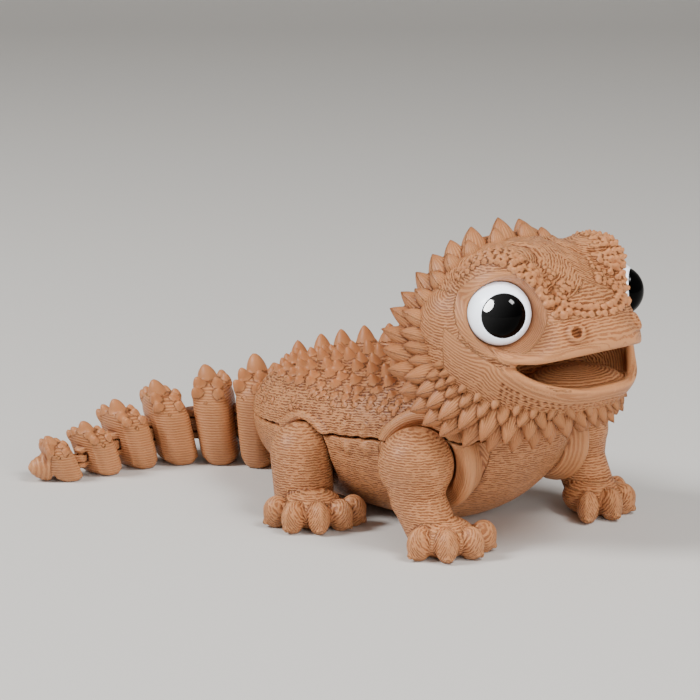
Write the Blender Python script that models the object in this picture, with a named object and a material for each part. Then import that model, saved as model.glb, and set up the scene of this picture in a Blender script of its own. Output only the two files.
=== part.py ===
"""Articulated bearded dragon toy, printed in place: solids in metres, +Z up, head towards +X.

The toy is symmetric about Y = 0 apart from its tail, which curls to its right (-Y).
The floor is Z = 0 and X = 0 lies under the flat of the belly.
"""
import math
import random

import bmesh
import bpy
from mathutils import Matrix, Vector

MM = 0.001
GAP = 0.3 * MM            # between pieces that are fixed to each other
PLAY = 0.45 * MM          # between pieces that turn on each other

# Torso: stations of x, underside, top and half width
TORSO_STATIONS = [
    (-46.3, 7.0, 25.0, 10.0), (-44.5, 5.0, 28.5, 14.0), (-39.5, 3.0, 31.5, 18.5),
    (-31.0, 0.8, 34.5, 23.0), (-19.0, -0.8, 37.5, 26.5), (-6.0, -1.0, 40.0, 28.2),
    (8.0, -1.0, 41.5, 28.8), (20.0, -0.2, 42.0, 27.0), (31.0, 4.4, 41.0, 23.5),
    (40.0, 11.5, 38.0, 18.0), (46.0, 18.5, 34.0, 11.0), (48.0, 22.5, 30.0, 6.0),
]
TORSO_SIDES = 24
TORSO_POWER = 2.15        # 2 is an ellipse, more is squarer
WIDEST_HEIGHT = 0.58      # share of the torso's height where it is widest
SEAM_X = 4.0 * MM         # the seam between back shell and belly passes here
SEAM_Z = 22.5 * MM
SEAM_SLOPE = 0.10

# Head: stations of x, underside, top and half width
HEAD_STATIONS = [
    (20.5, 45.0, 58.0, 9.0), (22.0, 39.0, 64.0, 16.0), (26.5, 33.5, 69.5, 22.5),
    (33.0, 30.0, 73.0, 26.5), (40.0, 28.5, 74.0, 28.2), (47.0, 28.5, 73.6, 27.4),
    (53.5, 29.5, 71.0, 24.6), (59.0, 31.6, 67.0, 21.0), (64.5, 35.0, 62.6, 16.6),
    (69.0, 39.2, 59.2, 11.6), (71.9, 44.0, 57.2, 7.4), (73.7, 49.0, 55.4, 3.8),
]
HEAD_SIDES = 24
BROW_CENTRE = Vector((47.0, -15.0, 61.5)) * MM
BROW_SIZE = (12.8, 10.3, 12.7)
EYE_CENTRE = Vector((50.8, -19.4, 60.2)) * MM
EYE_RADIUS = 7.9 * MM
EYE_TURN = 37.0           # degrees that each eye looks outwards
EYE_LIFT = 8.0            # degrees that it looks upwards
PUPIL_RADIUS = 5.4 * MM
PUPIL_DOME = 6.4 * MM     # radius of the domed front
PUPIL_FRONT = 8.6 * MM    # from the eye's centre
PUPIL_BACK = 4.2 * MM
PUPIL_SIDES = 14
NOSTRIL = Vector((68.2, -10.8, 57.3)) * MM

# Mouth: the lips' profile from the side, x and z, from the corner to the front
UPPER_LIP = [
    (51.5, 50.0), (56.0, 49.8), (60.0, 49.0), (64.0, 49.6), (69.0, 51.2), (73.5, 52.6), (78.0, 53.6),
]
LOWER_LIP = [
    (53.0, 49.2), (56.5, 47.2), (60.0, 45.2), (64.0, 43.6), (68.0, 42.6), (72.0, 42.2), (78.0, 42.2),
]
MOUTH_FLOOR = Vector((57.5, 0.0, 45.0)) * MM
MOUTH_FLOOR_SIZE = (10.5, 15.0, 5.0)
TONGUE = Vector((58.0, 0.0, 40.6)) * MM
TONGUE_SIZE = (8.5, 9.5, 3.4)

# Frill: centre line of the bar that carries the spikes, on the animal's right, crown to chin
FRILL_ROOT = [
    (33.0, 0.0, 72.2), (32.0, -9.3, 71.0), (30.5, -18.0, 65.9), (29.5, -22.7, 57.6),
    (29.5, -24.5, 50.0), (32.0, -25.5, 43.5), (36.5, -25.0, 38.5), (42.0, -23.0, 35.5),
    (48.0, -18.0, 34.0), (53.0, -12.0, 33.4), (56.5, -6.0, 33.8), (58.0, 0.0, 34.5),
]
FRILL_TIP = [
    (31.0, 0.0, 78.0), (30.0, -8.5, 76.5), (27.0, -18.5, 70.5), (24.5, -26.5, 62.0),
    (23.5, -32.0, 53.5), (27.5, -34.0, 45.0), (34.0, -33.0, 36.0), (40.0, -30.5, 30.5),
    (48.0, -23.0, 26.0), (54.0, -15.0, 25.6), (58.0, -6.5, 27.3), (59.5, 0.0, 29.0),
]
FRILL_TIP_LEFT = FRILL_TIP[:8] + [
    (43.5, -25.5, 31.0), (50.0, -18.0, 29.2), (56.0, -8.0, 28.0), (59.5, 0.0, 29.0),
]
FRILL_BAR_RADIUS = 2.6 * MM
FRILL_BAR_SIDES = 6
FRILL_SPLIT = 0.45        # share of the way from crown to chin where crown meets beard
FRILL_SPIKES = 12         # large spikes from crown to chin, one side
SPIKE_RADIUS = 3.5 * MM

# Neck: a ball on the torso in a socket in the head
NECK_BALL = Vector((31.0, 0.0, 47.0)) * MM
NECK_BALL_RADIUS = 6.5 * MM
NECK_STUB_RADIUS = 3.8 * MM
NECK_FOOT = Vector((14.0, 0.0, 33.0)) * MM
HEAD_TURN = 12.0          # degrees each way
HEAD_CLEARANCE = 0.9      # millimetres between torso and turning head
HEAD_MARGIN = 0.4         # millimetres between the skull and the spikes that lie over it

# Legs: ball joint, column and foot, on the animal's right
BALL_RADIUS = 4.6 * MM
BALL_STUB_RADIUS = 3.0 * MM
REAR_HIP = Vector((-8.0, -30.0, 16.4)) * MM
REAR_BALL = Vector((-8.0, -13.5, 15.4)) * MM
REAR_LEG_RADIUS = 7.75 * MM
REAR_FOOT = Vector((0.8, -33.8, 0.0)) * MM
REAR_TOES = [-123.0, -76.0, -32.0, 10.0, 46.0]
REAR_TOE_REACH = 9.1 * MM
FRONT_SHOULDER = Vector((31.4, -27.5, 20.5)) * MM
FRONT_SHOULDER_RADIUS = 9.3 * MM
FRONT_BALL = Vector((31.4, -11.5, 20.5)) * MM
FRONT_ELBOW = Vector((33.0, -28.5, 13.0)) * MM
FRONT_WRIST = Vector((38.0, -28.0, 5.0)) * MM
FRONT_LEG_RADIUS = 6.3 * MM
FRONT_FOOT = Vector((40.2, -26.8, 0.0)) * MM
FRONT_TOES = [-90.0, -36.0, 16.0, 60.0]
FRONT_TOE_REACH = 8.2 * MM
FOOT_SIZE = (8.6, 8.6, 9.4)
TOE_SIZE = (4.8, 3.3, 4.3)
TOE_HEIGHT = 3.8 * MM     # of a toe's centre; its underside is cut flat on the floor
LEG_SWING = 28.0          # degrees each way that the pockets leave free
POCKET_WALL = 21.3 * MM   # from the middle to the flat that a leg lies against

# Tail: heading in degrees from straight back, length to the next link, half width, height, and
# the lean of the piece's top away from the body in degrees
TAIL_START = Vector((-48.5, 0.0, 0.0)) * MM
TAIL = [
    (27.0, 12.6, 10.5, 24.5, 4.0), (43.0, 13.2, 9.8, 22.0, 8.0), (67.0, 13.2, 8.8, 18.5, 13.0),
    (88.0, 11.6, 7.6, 15.5, 17.0), (93.0, 10.9, 6.3, 12.0, 20.0), (68.0, 12.5, 5.2, 9.5, 22.0),
]
TAIL_GAP = 2.4 * MM
LINK_LEVEL = 0.45         # share of a piece's height where its link lies
TAIL_SIDES = 12

PLASTIC = (0.578, 0.305, 0.162)
EYE_WHITE = (0.88, 0.88, 0.90)
PUPIL_BLACK = (0.008, 0.008, 0.010)


def clear_scene():
    for obj in list(bpy.data.objects):
        bpy.data.objects.remove(obj, do_unlink=True)


def make_material(name, colour, roughness):
    material = bpy.data.materials.new(name)
    material.use_nodes = True
    shader = material.node_tree.nodes["Principled BSDF"]
    shader.inputs["Base Color"].default_value = (*colour, 1.0)
    shader.inputs["Roughness"].default_value = roughness
    shader.inputs["Metallic"].default_value = 0.0
    return material


def object_from_bmesh(name, mesh_data):
    bmesh.ops.recalc_face_normals(mesh_data, faces=mesh_data.faces)
    mesh = bpy.data.meshes.new(name)
    mesh_data.to_mesh(mesh)
    mesh_data.free()
    obj = bpy.data.objects.new(name, mesh)
    bpy.context.scene.collection.objects.link(obj)
    return obj


def ellipsoid(centre, size_mm, turn=None, segments=12, rings=8):
    """A sphere stretched to three radii in millimetres."""
    mesh_data = bmesh.new()
    bmesh.ops.create_uvsphere(mesh_data, u_segments=segments, v_segments=rings, radius=1.0)
    matrix = Matrix.Diagonal((size_mm[0] * MM, size_mm[1] * MM, size_mm[2] * MM, 1.0))
    if turn is not None:
        matrix = turn.to_matrix().to_4x4() @ matrix
    bmesh.ops.transform(mesh_data, matrix=Matrix.Translation(centre) @ matrix, verts=mesh_data.verts)
    return object_from_bmesh("ellipsoid", mesh_data)


def ball(centre, radius, segments=12, rings=6):
    size = radius / MM
    return ellipsoid(centre, (size, size, size), None, segments, rings)


def rod(start, end, radius_start, radius_end=None, sides=10):
    """A cylinder or cone between two points."""
    radius_end = radius_start if radius_end is None else radius_end
    axis = end - start
    mesh_data = bmesh.new()
    bmesh.ops.create_cone(mesh_data, cap_ends=True, segments=sides, radius1=radius_start,
                          radius2=radius_end, depth=axis.length)
    turn = Vector((0, 0, 1)).rotation_difference(axis).to_matrix().to_4x4()
    matrix = Matrix.Translation((start + end) / 2) @ turn
    bmesh.ops.transform(mesh_data, matrix=matrix, verts=mesh_data.verts)
    return object_from_bmesh("rod", mesh_data)


def box(centre, size, turn_z=0.0, turn_y=0.0):
    mesh_data = bmesh.new()
    bmesh.ops.create_cube(mesh_data, size=1.0)
    matrix = (Matrix.Translation(centre) @ Matrix.Rotation(turn_z, 4, "Z")
              @ Matrix.Rotation(turn_y, 4, "Y") @ Matrix.Diagonal((*size, 1.0)))
    bmesh.ops.transform(mesh_data, matrix=matrix, verts=mesh_data.verts)
    return object_from_bmesh("box", mesh_data)


def loft(rings, split=False):
    """A closed solid through rings of equally many points; split halves its side faces."""
    mesh_data = bmesh.new()
    rows = [[mesh_data.verts.new(point) for point in ring] for ring in rings]
    count = len(rings[0])
    for lower, upper in zip(rows, rows[1:]):
        for i in range(count):
            j = (i + 1) % count
            if split:
                mesh_data.faces.new((lower[i], lower[j], upper[j]))
                mesh_data.faces.new((lower[i], upper[j], upper[i]))
            else:
                mesh_data.faces.new((lower[i], lower[j], upper[j], upper[i]))
    mesh_data.faces.new(rows[0])
    mesh_data.faces.new(rows[-1])
    return object_from_bmesh("loft", mesh_data)


def prism(outline, y_low, y_high):
    """An outline in the XZ plane carried along Y."""
    return loft([[Vector((x, y, z)) for x, z in outline] for y in (y_low, y_high)])


def egg_ring(x, low, high, half_width, widest, power, sides):
    """A rounded section across X, widest at a share of its height."""
    ring = []
    middle = low + (high - low) * widest
    for i in range(sides):
        angle = 2 * math.pi * i / sides
        c, s = math.cos(angle), math.sin(angle)
        reach = (high - middle) if s > 0 else (middle - low)
        y = half_width * math.copysign(abs(c) ** (2 / power), c)
        z = middle + reach * math.copysign(abs(s) ** (2 / power), s)
        ring.append(Vector((x, y, z)) * MM)
    return ring


def spike(root, direction, length, radius, sides=5):
    """A bud-shaped spike that starts below its root and tapers to a blunt point."""
    turn = Vector((0, 0, 1)).rotation_difference(direction.normalized()).to_matrix().to_4x4()
    matrix = Matrix.Translation(root) @ turn
    rings = []
    for share, width in ((-0.3, 1.0), (0.42, 0.78), (1.0, 0.1)):
        rings.append([matrix @ Vector((radius * width * math.cos(2 * math.pi * i / sides),
                                       radius * width * math.sin(2 * math.pi * i / sides),
                                       length * share)) for i in range(sides)])
    return loft(rings)


def smooth_path(points, count):
    """Even steps along a Catmull-Rom curve through points in millimetres."""
    knots = [Vector(point) * MM for point in points]
    knots = [2 * knots[0] - knots[1]] + knots + [2 * knots[-1] - knots[-2]]
    result = []
    for step in range(count):
        place = step / (count - 1) * (len(points) - 1)
        i = min(int(place), len(points) - 2)
        t = place - i
        a, b, c, d = knots[i:i + 4]
        result.append(0.5 * (2 * b + (c - a) * t + (2 * a - 5 * b + 4 * c - d) * t * t
                             + (3 * b - a - 3 * c + d) * t * t * t))
    return result


def keep_largest(mesh):
    """Keep the closed surface that encloses the most, and drop any other."""
    mesh_data = bmesh.new()
    mesh_data.from_mesh(mesh)
    unseen = set(mesh_data.verts)
    groups = []
    while unseen:
        group = {unseen.pop()}
        edge_of_group = list(group)
        while edge_of_group:
            vertex = edge_of_group.pop()
            for edge in vertex.link_edges:
                other = edge.other_vert(vertex)
                if other in unseen:
                    unseen.remove(other)
                    group.add(other)
                    edge_of_group.append(other)
        groups.append(group)

    def spread(group):
        low = [min(v.co[i] for v in group) for i in range(3)]
        high = [max(v.co[i] for v in group) for i in range(3)]
        return sum(h - l for h, l in zip(high, low))

    largest = max(groups, key=spread)
    bmesh.ops.delete(mesh_data, geom=[v for v in mesh_data.verts if v not in largest], context="VERTS")
    bmesh.ops.triangulate(mesh_data, faces=mesh_data.faces)
    mesh_data.to_mesh(mesh)
    mesh_data.free()


def combine(base, pieces, operation, one_body=True, solver="EXACT"):
    """One Boolean of the base with a collection of pieces, applied; the pieces are removed."""
    if not pieces:
        return base
    collection = bpy.data.collections.new("operands")
    for piece in pieces:
        bpy.context.scene.collection.objects.unlink(piece)
        collection.objects.link(piece)
    bpy.context.scene.collection.children.link(collection)
    boolean = base.modifiers.new("Boolean", "BOOLEAN")
    boolean.operation = operation
    boolean.operand_type = "COLLECTION"
    boolean.collection = collection
    boolean.solver = solver
    evaluated = base.evaluated_get(bpy.context.evaluated_depsgraph_get())
    mesh = bpy.data.meshes.new_from_object(evaluated)
    base.modifiers.clear()
    base.data = mesh
    for piece in pieces:
        bpy.data.objects.remove(piece, do_unlink=True)
    bpy.data.collections.remove(collection)
    if one_body:
        keep_largest(base.data)
    return base


def fuse(pieces, one_body=True):
    return combine(pieces[0], pieces[1:], "UNION", one_body)


def cut(base, cutters, one_body=True):
    return combine(base, cutters, "DIFFERENCE", one_body)


def duplicate(obj):
    copy = bpy.data.objects.new(obj.name, obj.data.copy())
    bpy.context.scene.collection.objects.link(copy)
    return copy


def mirrored(obj, name):
    """The same piece on the animal's left."""
    copy = duplicate(obj)
    copy.name = name
    copy.data.transform(Matrix.Scale(-1, 4, Vector((0, 1, 0))))
    copy.data.flip_normals()
    return copy


def both_sides(make):
    """Pieces made for the right and, mirrored, for the left."""
    right = make()
    return right + [mirrored(piece, piece.name) for piece in right]


def finish_node(obj, name, material, collection, smooth_angle=40.0):
    obj.name = name
    obj.data.name = name
    obj.data.materials.clear()
    obj.data.materials.append(material)
    obj.data.shade_smooth()
    obj.data.set_sharp_from_angle(angle=math.radians(smooth_angle))
    bpy.context.scene.collection.objects.unlink(obj)
    collection.objects.link(obj)
    return obj


def floor_cutter():
    return box(Vector((0, 0, -20 * MM)), (300 * MM, 300 * MM, 40 * MM))


def leg_pockets():
    """Room in the torso for the two right legs: ball sockets, hip and shoulder bowls, swing room."""
    far = -50 * MM
    swing = math.radians(LEG_SWING + 1)
    pockets = []
    for centre, radius, socket in ((REAR_HIP, REAR_LEG_RADIUS, REAR_BALL),
                                   (FRONT_SHOULDER, FRONT_SHOULDER_RADIUS, FRONT_BALL)):
        pockets.append(ball(socket, BALL_RADIUS + PLAY))
        outside = socket + (centre - socket) * 2.2
        pockets.append(rod(socket, outside, BALL_STUB_RADIUS + PLAY))
        outline = []
        reach = radius + PLAY
        for i in range(9):
            angle = math.radians(180) * i / 8
            outline.append((centre.x + reach * math.cos(angle), centre.z + reach * math.sin(angle)))
        drop = centre.z + 5 * MM
        flare = drop * math.tan(swing)
        outline.append((centre.x - reach - flare, -5 * MM))
        outline.append((centre.x + reach + flare, -5 * MM))
        pockets.append(prism(outline, -POCKET_WALL, far))
    pockets.append(ball(FRONT_SHOULDER, FRONT_SHOULDER_RADIUS + PLAY, 18, 10))
    return pockets


def make_torso():
    return loft([egg_ring(x, low, high, half, WIDEST_HEIGHT, TORSO_POWER, TORSO_SIDES)
                 for x, low, high, half in TORSO_STATIONS])


def seam_cutter(side):
    """A large block above (1) or below (-1) the sloped seam, half a gap away from it."""
    tilt = -math.atan(SEAM_SLOPE)
    depth = 60 * MM
    normal = Vector((-math.sin(-tilt), 0, math.cos(tilt)))
    centre = Vector((SEAM_X, 0, SEAM_Z)) + side * normal * (depth / 2 - GAP / 2)
    return box(centre, (220 * MM, 120 * MM, depth), 0.0, tilt)


def back_spikes():
    """Rows of cones on the back shell, large on the ridge and small at the sides."""
    rng = random.Random(11)
    pieces = []
    rows = [(90.0, 5.4, 2.7), (68.0, 3.6, 2.3), (49.0, 2.7, 2.0)]
    for row, (angle, length, radius) in enumerate(rows):
        steps = 7
        for side in ((1,) if row == 0 else (1, -1)):
            for i in range(steps):
                x = -41.8 + 8.7 * i + (4.3 if row % 2 else 0.0)
                point, normal = torso_point(x, math.radians(angle), side)
                reach = length * rng.uniform(0.93, 1.04)
                lean = normal + Vector((-0.25, 0, 0.1))
                pieces.append(spike(point, lean, reach * MM, radius * MM, 5 - row % 2))
    return pieces


def torso_point(x, angle, side):
    """The torso's surface point and normal at x millimetres and an angle up from its side."""
    for (xa, *a), (xb, *b) in zip(TORSO_STATIONS, TORSO_STATIONS[1:]):
        if xa <= x <= xb:
            t = (x - xa) / (xb - xa)
            low, high, half = [p + (q - p) * t for p, q in zip(a, b)]
            break
    middle = low + (high - low) * WIDEST_HEIGHT
    c, s = math.cos(angle), math.sin(angle)
    y = half * max(c, 0.0) ** (2 / TORSO_POWER)
    z = middle + (high - middle) * s ** (2 / TORSO_POWER)
    normal = Vector((0, side * c / half, s / (high - middle))).normalized()
    return Vector((x, side * y, z)) * MM, normal


def link_eye(joint, height, scale, heading):
    """The ring that turns on the pin, and its tongue back into the piece that carries it."""
    zc = height * LINK_LEVEL
    half = 1.7 * MM * scale
    outer = 2.7 * MM * scale
    centre = Vector((joint.x, joint.y, zc))
    direction = Vector((-math.cos(heading), -math.sin(heading), 0))
    reach = 4.6 * MM
    ring = rod(centre - Vector((0, 0, half)), centre + Vector((0, 0, half)), outer, sides=10)
    tongue = box(centre + direction * reach / 2 + direction * outer / 2, (reach, 3.0 * MM * scale, 2 * half),
                 heading)
    hole = rod(centre - Vector((0, 0, 3 * half)), centre + Vector((0, 0, 3 * half)),
               1.2 * MM * scale + PLAY, sides=8)
    return [ring, tongue], hole


def link_fork(joint, height, scale, heading):
    """Two lugs and the pin between them, on the piece in front of the joint."""
    zc = height * LINK_LEVEL
    ring_half = 1.7 * MM * scale + PLAY
    lug = 1.9 * MM * scale
    outer = 2.7 * MM * scale
    back = Vector((math.cos(heading), math.sin(heading), 0))
    reach = 4.6 * MM
    pieces = [rod(Vector((joint.x, joint.y, zc - ring_half - lug / 2)),
                  Vector((joint.x, joint.y, zc + ring_half + lug / 2)), 1.2 * MM * scale, sides=6)]
    for side in (1, -1):
        z = zc + side * (ring_half + lug / 2)
        centre = Vector((joint.x, joint.y, z))
        half = Vector((0, 0, lug / 2))
        pieces.append(rod(centre - half, centre + half, outer, sides=8))
        pieces.append(box(centre + back * (reach / 2 + outer / 2), (reach, 3.4 * MM * scale, lug), heading))
    return pieces


def link_room(joint, height, scale):
    """The round room that a piece leaves for its neighbour's half of the link."""
    zc = height * LINK_LEVEL
    half = (1.7 + 1.9) * MM * scale + 2 * PLAY
    centre = Vector((joint.x, joint.y, zc))
    up = Vector((0, 0, half))
    return rod(centre - up, centre + up, 2.7 * MM * scale + PLAY, sides=10)


def tail_joints():
    """The hinge point in front of each tail segment, and each heading in radians."""
    joints = [TAIL_START.copy()]
    headings = []
    for heading, length, _, _, _ in TAIL:
        angle = math.radians(heading)
        headings.append(angle)
        joints.append(joints[-1] + Vector((-math.cos(angle), -math.sin(angle), 0)) * length * MM)
    return joints, headings


def link_scale(height):
    return max(0.62, min(1.0, height / 20.0))


def tail_slab(index, joints, headings):
    """One drum of the tail: oval in plan, flat below, domed above, with cones on top."""
    heading, length, half_width, height, lean = TAIL[index]
    angle = headings[index]
    last = index == len(TAIL) - 1
    start, end = joints[index], joints[index + 1]
    axis = Vector((-math.cos(angle), -math.sin(angle), 0))
    across = Vector((axis.y, -axis.x, 0))
    half_length = (length * MM - TAIL_GAP) / 2
    centre = start + axis * (TAIL_GAP / 2 + half_length)
    slope = math.tan(math.radians(lean))
    levels = [(0.0, 0.90), (0.10, 1.0), (0.66, 1.0), (0.88, 0.84), (1.0, 0.42)]
    rings = []
    for share, width in levels:
        ring = []
        for i in range(TAIL_SIDES):
            a = 2 * math.pi * i / TAIL_SIDES
            c, s = math.cos(a), math.sin(a)
            along = half_length * math.copysign(abs(c) ** 0.8, c) * (0.55 + 0.45 * width)
            side = half_width * MM * math.copysign(abs(s) ** 0.8, s) * width
            if last and c > 0:
                along *= 1.25
                side *= 1 - 0.55 * c
            along += (share - LINK_LEVEL) * height * MM * slope
            ring.append(centre + axis * along + across * side + Vector((0, 0, height * MM * share)))
        rings.append(ring)
    slab = loft(rings)
    rng = random.Random(40 + index)
    spikes = []
    size = 0.55 + 0.45 * height / 24.0
    places = [(0.0, 1.0), (0.62, 0.7), (-0.62, 0.7)]
    for offset, share in places:
        level = 1.0 if offset == 0 else 0.88
        root = centre + across * offset * half_width * MM + Vector((0, 0, height * MM * level - 0.8 * MM))
        root += axis * (level - LINK_LEVEL) * height * MM * slope
        direction = Vector((0, 0, 1)) + across * offset * 0.9 + axis * (slope + 0.15)
        spikes.append(spike(root, direction, 5.2 * MM * size * share * rng.uniform(0.9, 1.1),
                            2.9 * MM * size * (0.6 + 0.4 * share)))
    slab = fuse([slab] + spikes)
    front_height = (TAIL[index - 1][3] if index else TAIL[0][3]) * MM
    front_scale = link_scale(front_height / MM)
    rooms = [link_room(start, front_height, front_scale)]
    if not last:
        rooms.append(link_room(end, height * MM, link_scale(height)))
    slab = cut(slab, rooms)
    eye, hole = link_eye(start, front_height, front_scale, angle)
    pieces = [slab] + eye
    if not last:
        pieces += link_fork(end, height * MM, link_scale(height), angle)
    slab = fuse(pieces)
    return cut(slab, [hole])


def make_leg(hip, socket, limbs, foot, toes, toe_reach):
    """Ball, stub, limb and foot with its toes, flat where they stand."""
    pieces = list(limbs)
    pieces.append(ball(socket, BALL_RADIUS))
    pieces.append(rod(socket, hip, BALL_STUB_RADIUS))
    pieces.append(ellipsoid(foot, FOOT_SIZE, None, 12, 6))
    for angle in toes:
        heading = math.radians(angle)
        direction = Vector((math.cos(heading), math.sin(heading), 0))
        turn = Matrix.Rotation(heading, 3, "Z").to_quaternion()
        centre = foot + direction * toe_reach + Vector((0, 0, TOE_HEIGHT))
        pieces.append(ellipsoid(centre, TOE_SIZE, turn, 8, 5))
    leg = fuse(pieces)
    return cut(leg, [floor_cutter()])


def rear_leg():
    top = REAR_HIP
    ankle = Vector((top.x + 2.5 * MM, top.y - 0.8 * MM, 2 * MM))
    inside = Vector((top.x, -21.9 * MM, top.z))
    limbs = [ball(top, REAR_LEG_RADIUS, 16, 8), rod(inside, top, REAR_LEG_RADIUS * 0.97, sides=15),
             rod(ankle, top, REAR_LEG_RADIUS * 0.93, REAR_LEG_RADIUS * 0.985, 18)]
    return make_leg(REAR_HIP, REAR_BALL, limbs, REAR_FOOT, REAR_TOES, REAR_TOE_REACH)


def front_leg():
    limbs = [ball(FRONT_SHOULDER, FRONT_SHOULDER_RADIUS, 14, 8),
             ball(FRONT_ELBOW, FRONT_LEG_RADIUS, 12, 6),
             rod(FRONT_WRIST, FRONT_ELBOW, FRONT_LEG_RADIUS * 0.92, FRONT_LEG_RADIUS * 0.96, 15)]
    return make_leg(FRONT_SHOULDER, FRONT_BALL, limbs, FRONT_FOOT, FRONT_TOES, FRONT_TOE_REACH)


def eye_direction():
    turn, lift = math.radians(EYE_TURN), math.radians(EYE_LIFT)
    return Vector((math.cos(turn) * math.cos(lift), -math.sin(turn) * math.cos(lift), math.sin(lift)))


def make_eye_white():
    white = ball(EYE_CENTRE, EYE_RADIUS, 14, 7)
    direction = eye_direction()
    pocket = rod(EYE_CENTRE + direction * (PUPIL_BACK - GAP), EYE_CENTRE + direction * 15 * MM,
                 PUPIL_RADIUS + GAP, sides=16)
    return cut(white, [pocket])


def make_pupil():
    """A turned disc with a domed front."""
    direction = eye_direction()
    turn = Vector((0, 0, 1)).rotation_difference(direction).to_matrix().to_4x4()
    matrix = Matrix.Translation(EYE_CENTRE) @ turn
    centre = PUPIL_FRONT - PUPIL_DOME
    rim = centre + math.sqrt(PUPIL_DOME ** 2 - PUPIL_RADIUS ** 2)
    profile = [(PUPIL_RADIUS * 0.93, PUPIL_BACK), (PUPIL_RADIUS, PUPIL_BACK + 0.4 * MM), (PUPIL_RADIUS, rim)]
    start = math.asin(PUPIL_RADIUS / PUPIL_DOME)
    for i in range(1, 3):
        angle = start * (1 - i / 3)
        profile.append((PUPIL_DOME * math.sin(angle), centre + PUPIL_DOME * math.cos(angle)))
    rings = [[matrix @ Vector((r * math.cos(2 * math.pi * k / PUPIL_SIDES),
                               r * math.sin(2 * math.pi * k / PUPIL_SIDES), h))
              for k in range(PUPIL_SIDES)] for r, h in profile]
    return loft(rings)


def mouth_cutter():
    outline = [(x * MM, z * MM) for x, z in UPPER_LIP + LOWER_LIP[::-1]]
    return prism(outline, -40 * MM, 40 * MM)


def neck_room():
    direction = (NECK_FOOT - NECK_BALL).normalized()
    hole = NECK_STUB_RADIUS + PLAY + 1.7 * MM
    far = NECK_BALL + direction * 25 * MM
    return [ball(NECK_BALL, NECK_BALL_RADIUS + PLAY), rod(NECK_BALL, far, hole, hole + 3.0 * MM)]


def frill_half(start, end, radius):
    """The bar on the right between two shares of the way, and a step further at a split."""
    steps = 15
    roots, tips = smooth_path(FRILL_ROOT, steps + 1), smooth_path(FRILL_TIP, steps + 1)
    rings = []
    for k in range(max(round(start * steps) - 1, 0), min(round(end * steps) + 1, steps) + 1):
        if k in (0, steps):
            ahead = Vector((0, -1, 0)) if k == 0 else Vector((0, 1, 0))
        else:
            ahead = (roots[k + 1] - roots[k - 1]).normalized()
        out = tips[k] - roots[k]
        out = (out - out.project(ahead)).normalized()
        side = ahead.cross(out)
        ring = []
        for i in range(FRILL_BAR_SIDES):
            angle = 2 * math.pi * i / FRILL_BAR_SIDES
            ring.append(roots[k] + radius * (side * math.cos(angle) + out * math.sin(angle)))
        rings.append(ring)
    return loft(rings, split=True)


def frill_trim(share, ahead):
    """A block that ends a length of the frill half a gap before the next one."""
    path = smooth_path(FRILL_ROOT, 61)
    k = 4 * round(share * 15)
    along = Vector((0, 1, 0)) if k in (0, 60) else path[k + 1] - path[k - 1]
    along = along.normalized() * (1 if ahead else -1)
    size = 30 * MM
    block = box(Vector((0, 0, 0)), (size, size, size))
    turn = Vector((1, 0, 0)).rotation_difference(along).to_matrix().to_4x4()
    block.data.transform(Matrix.Translation(path[k] + along * (size - GAP) / 2) @ turn)
    return block


def make_frill(start, end, tip_line):
    """A length of the frill on the right: its bar with the spikes that stand on it."""
    spikes = fuse(frill_spikes(start, end, tip_line), one_body=False)
    spikes = cut(spikes, [make_skull(HEAD_MARGIN)], one_body=False)
    frill = fuse([frill_half(start, end, FRILL_BAR_RADIUS), spikes])
    frill = cut(frill, [frill_trim(start, start == 0.0)])
    return cut(frill, [frill_trim(end, True)])


def frill_spikes(start, end, tip_line):
    """Two rows of spikes along the bar: long ones, and shorter ones towards the face."""
    roots = smooth_path(FRILL_ROOT, 201)
    tips = smooth_path(tip_line, 201)
    rng = random.Random(5)
    pieces = []
    for i in range(2 * FRILL_SPIKES):
        share = (i + 0.5) / (2 * FRILL_SPIKES)
        grow = rng.uniform(0.93, 1.05)
        if not start + 0.012 < share < end - 0.012:
            continue
        k = round(share * 200)
        root, tip = roots[k], tips[k]
        reach = tip - root
        front_row = i % 2 == 1
        towards_face = Vector((0.55, 0.0, 0.0)) if share < 0.5 else Vector((0.25, 0.0, 0.35))
        if front_row:
            direction = reach.normalized() + towards_face
            length = reach.length * 0.80 * grow
            radius = SPIKE_RADIUS * 0.85
            sides = 4
        else:
            direction = reach.normalized()
            length = reach.length * grow
            radius = SPIKE_RADIUS
            sides = 5
        direction.normalize()
        pieces.append(spike(root + direction * 1.2 * MM, direction, length - 1.2 * MM, radius, sides))
    return pieces


def make_skull(extra=0.0):
    rings = [egg_ring(x, low - extra, high + extra, half + extra, 0.50, 2.25, HEAD_SIDES)
             for x, low, high, half in HEAD_STATIONS]
    rings[0] = [point - Vector((extra * MM, 0, 0)) for point in rings[0]]
    return loft(rings)


def head_room():
    """The space that the skull sweeps as it turns on the neck, which the torso leaves free."""
    rooms = []
    for angle in (-HEAD_TURN, 0.0, HEAD_TURN):
        room = make_skull(HEAD_CLEARANCE)
        turn = Matrix.Translation(NECK_BALL) @ Matrix.Rotation(math.radians(angle), 4, "Z")
        room.data.transform(turn @ Matrix.Translation(-NECK_BALL))
        rooms.append(room)
    return rooms


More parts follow.
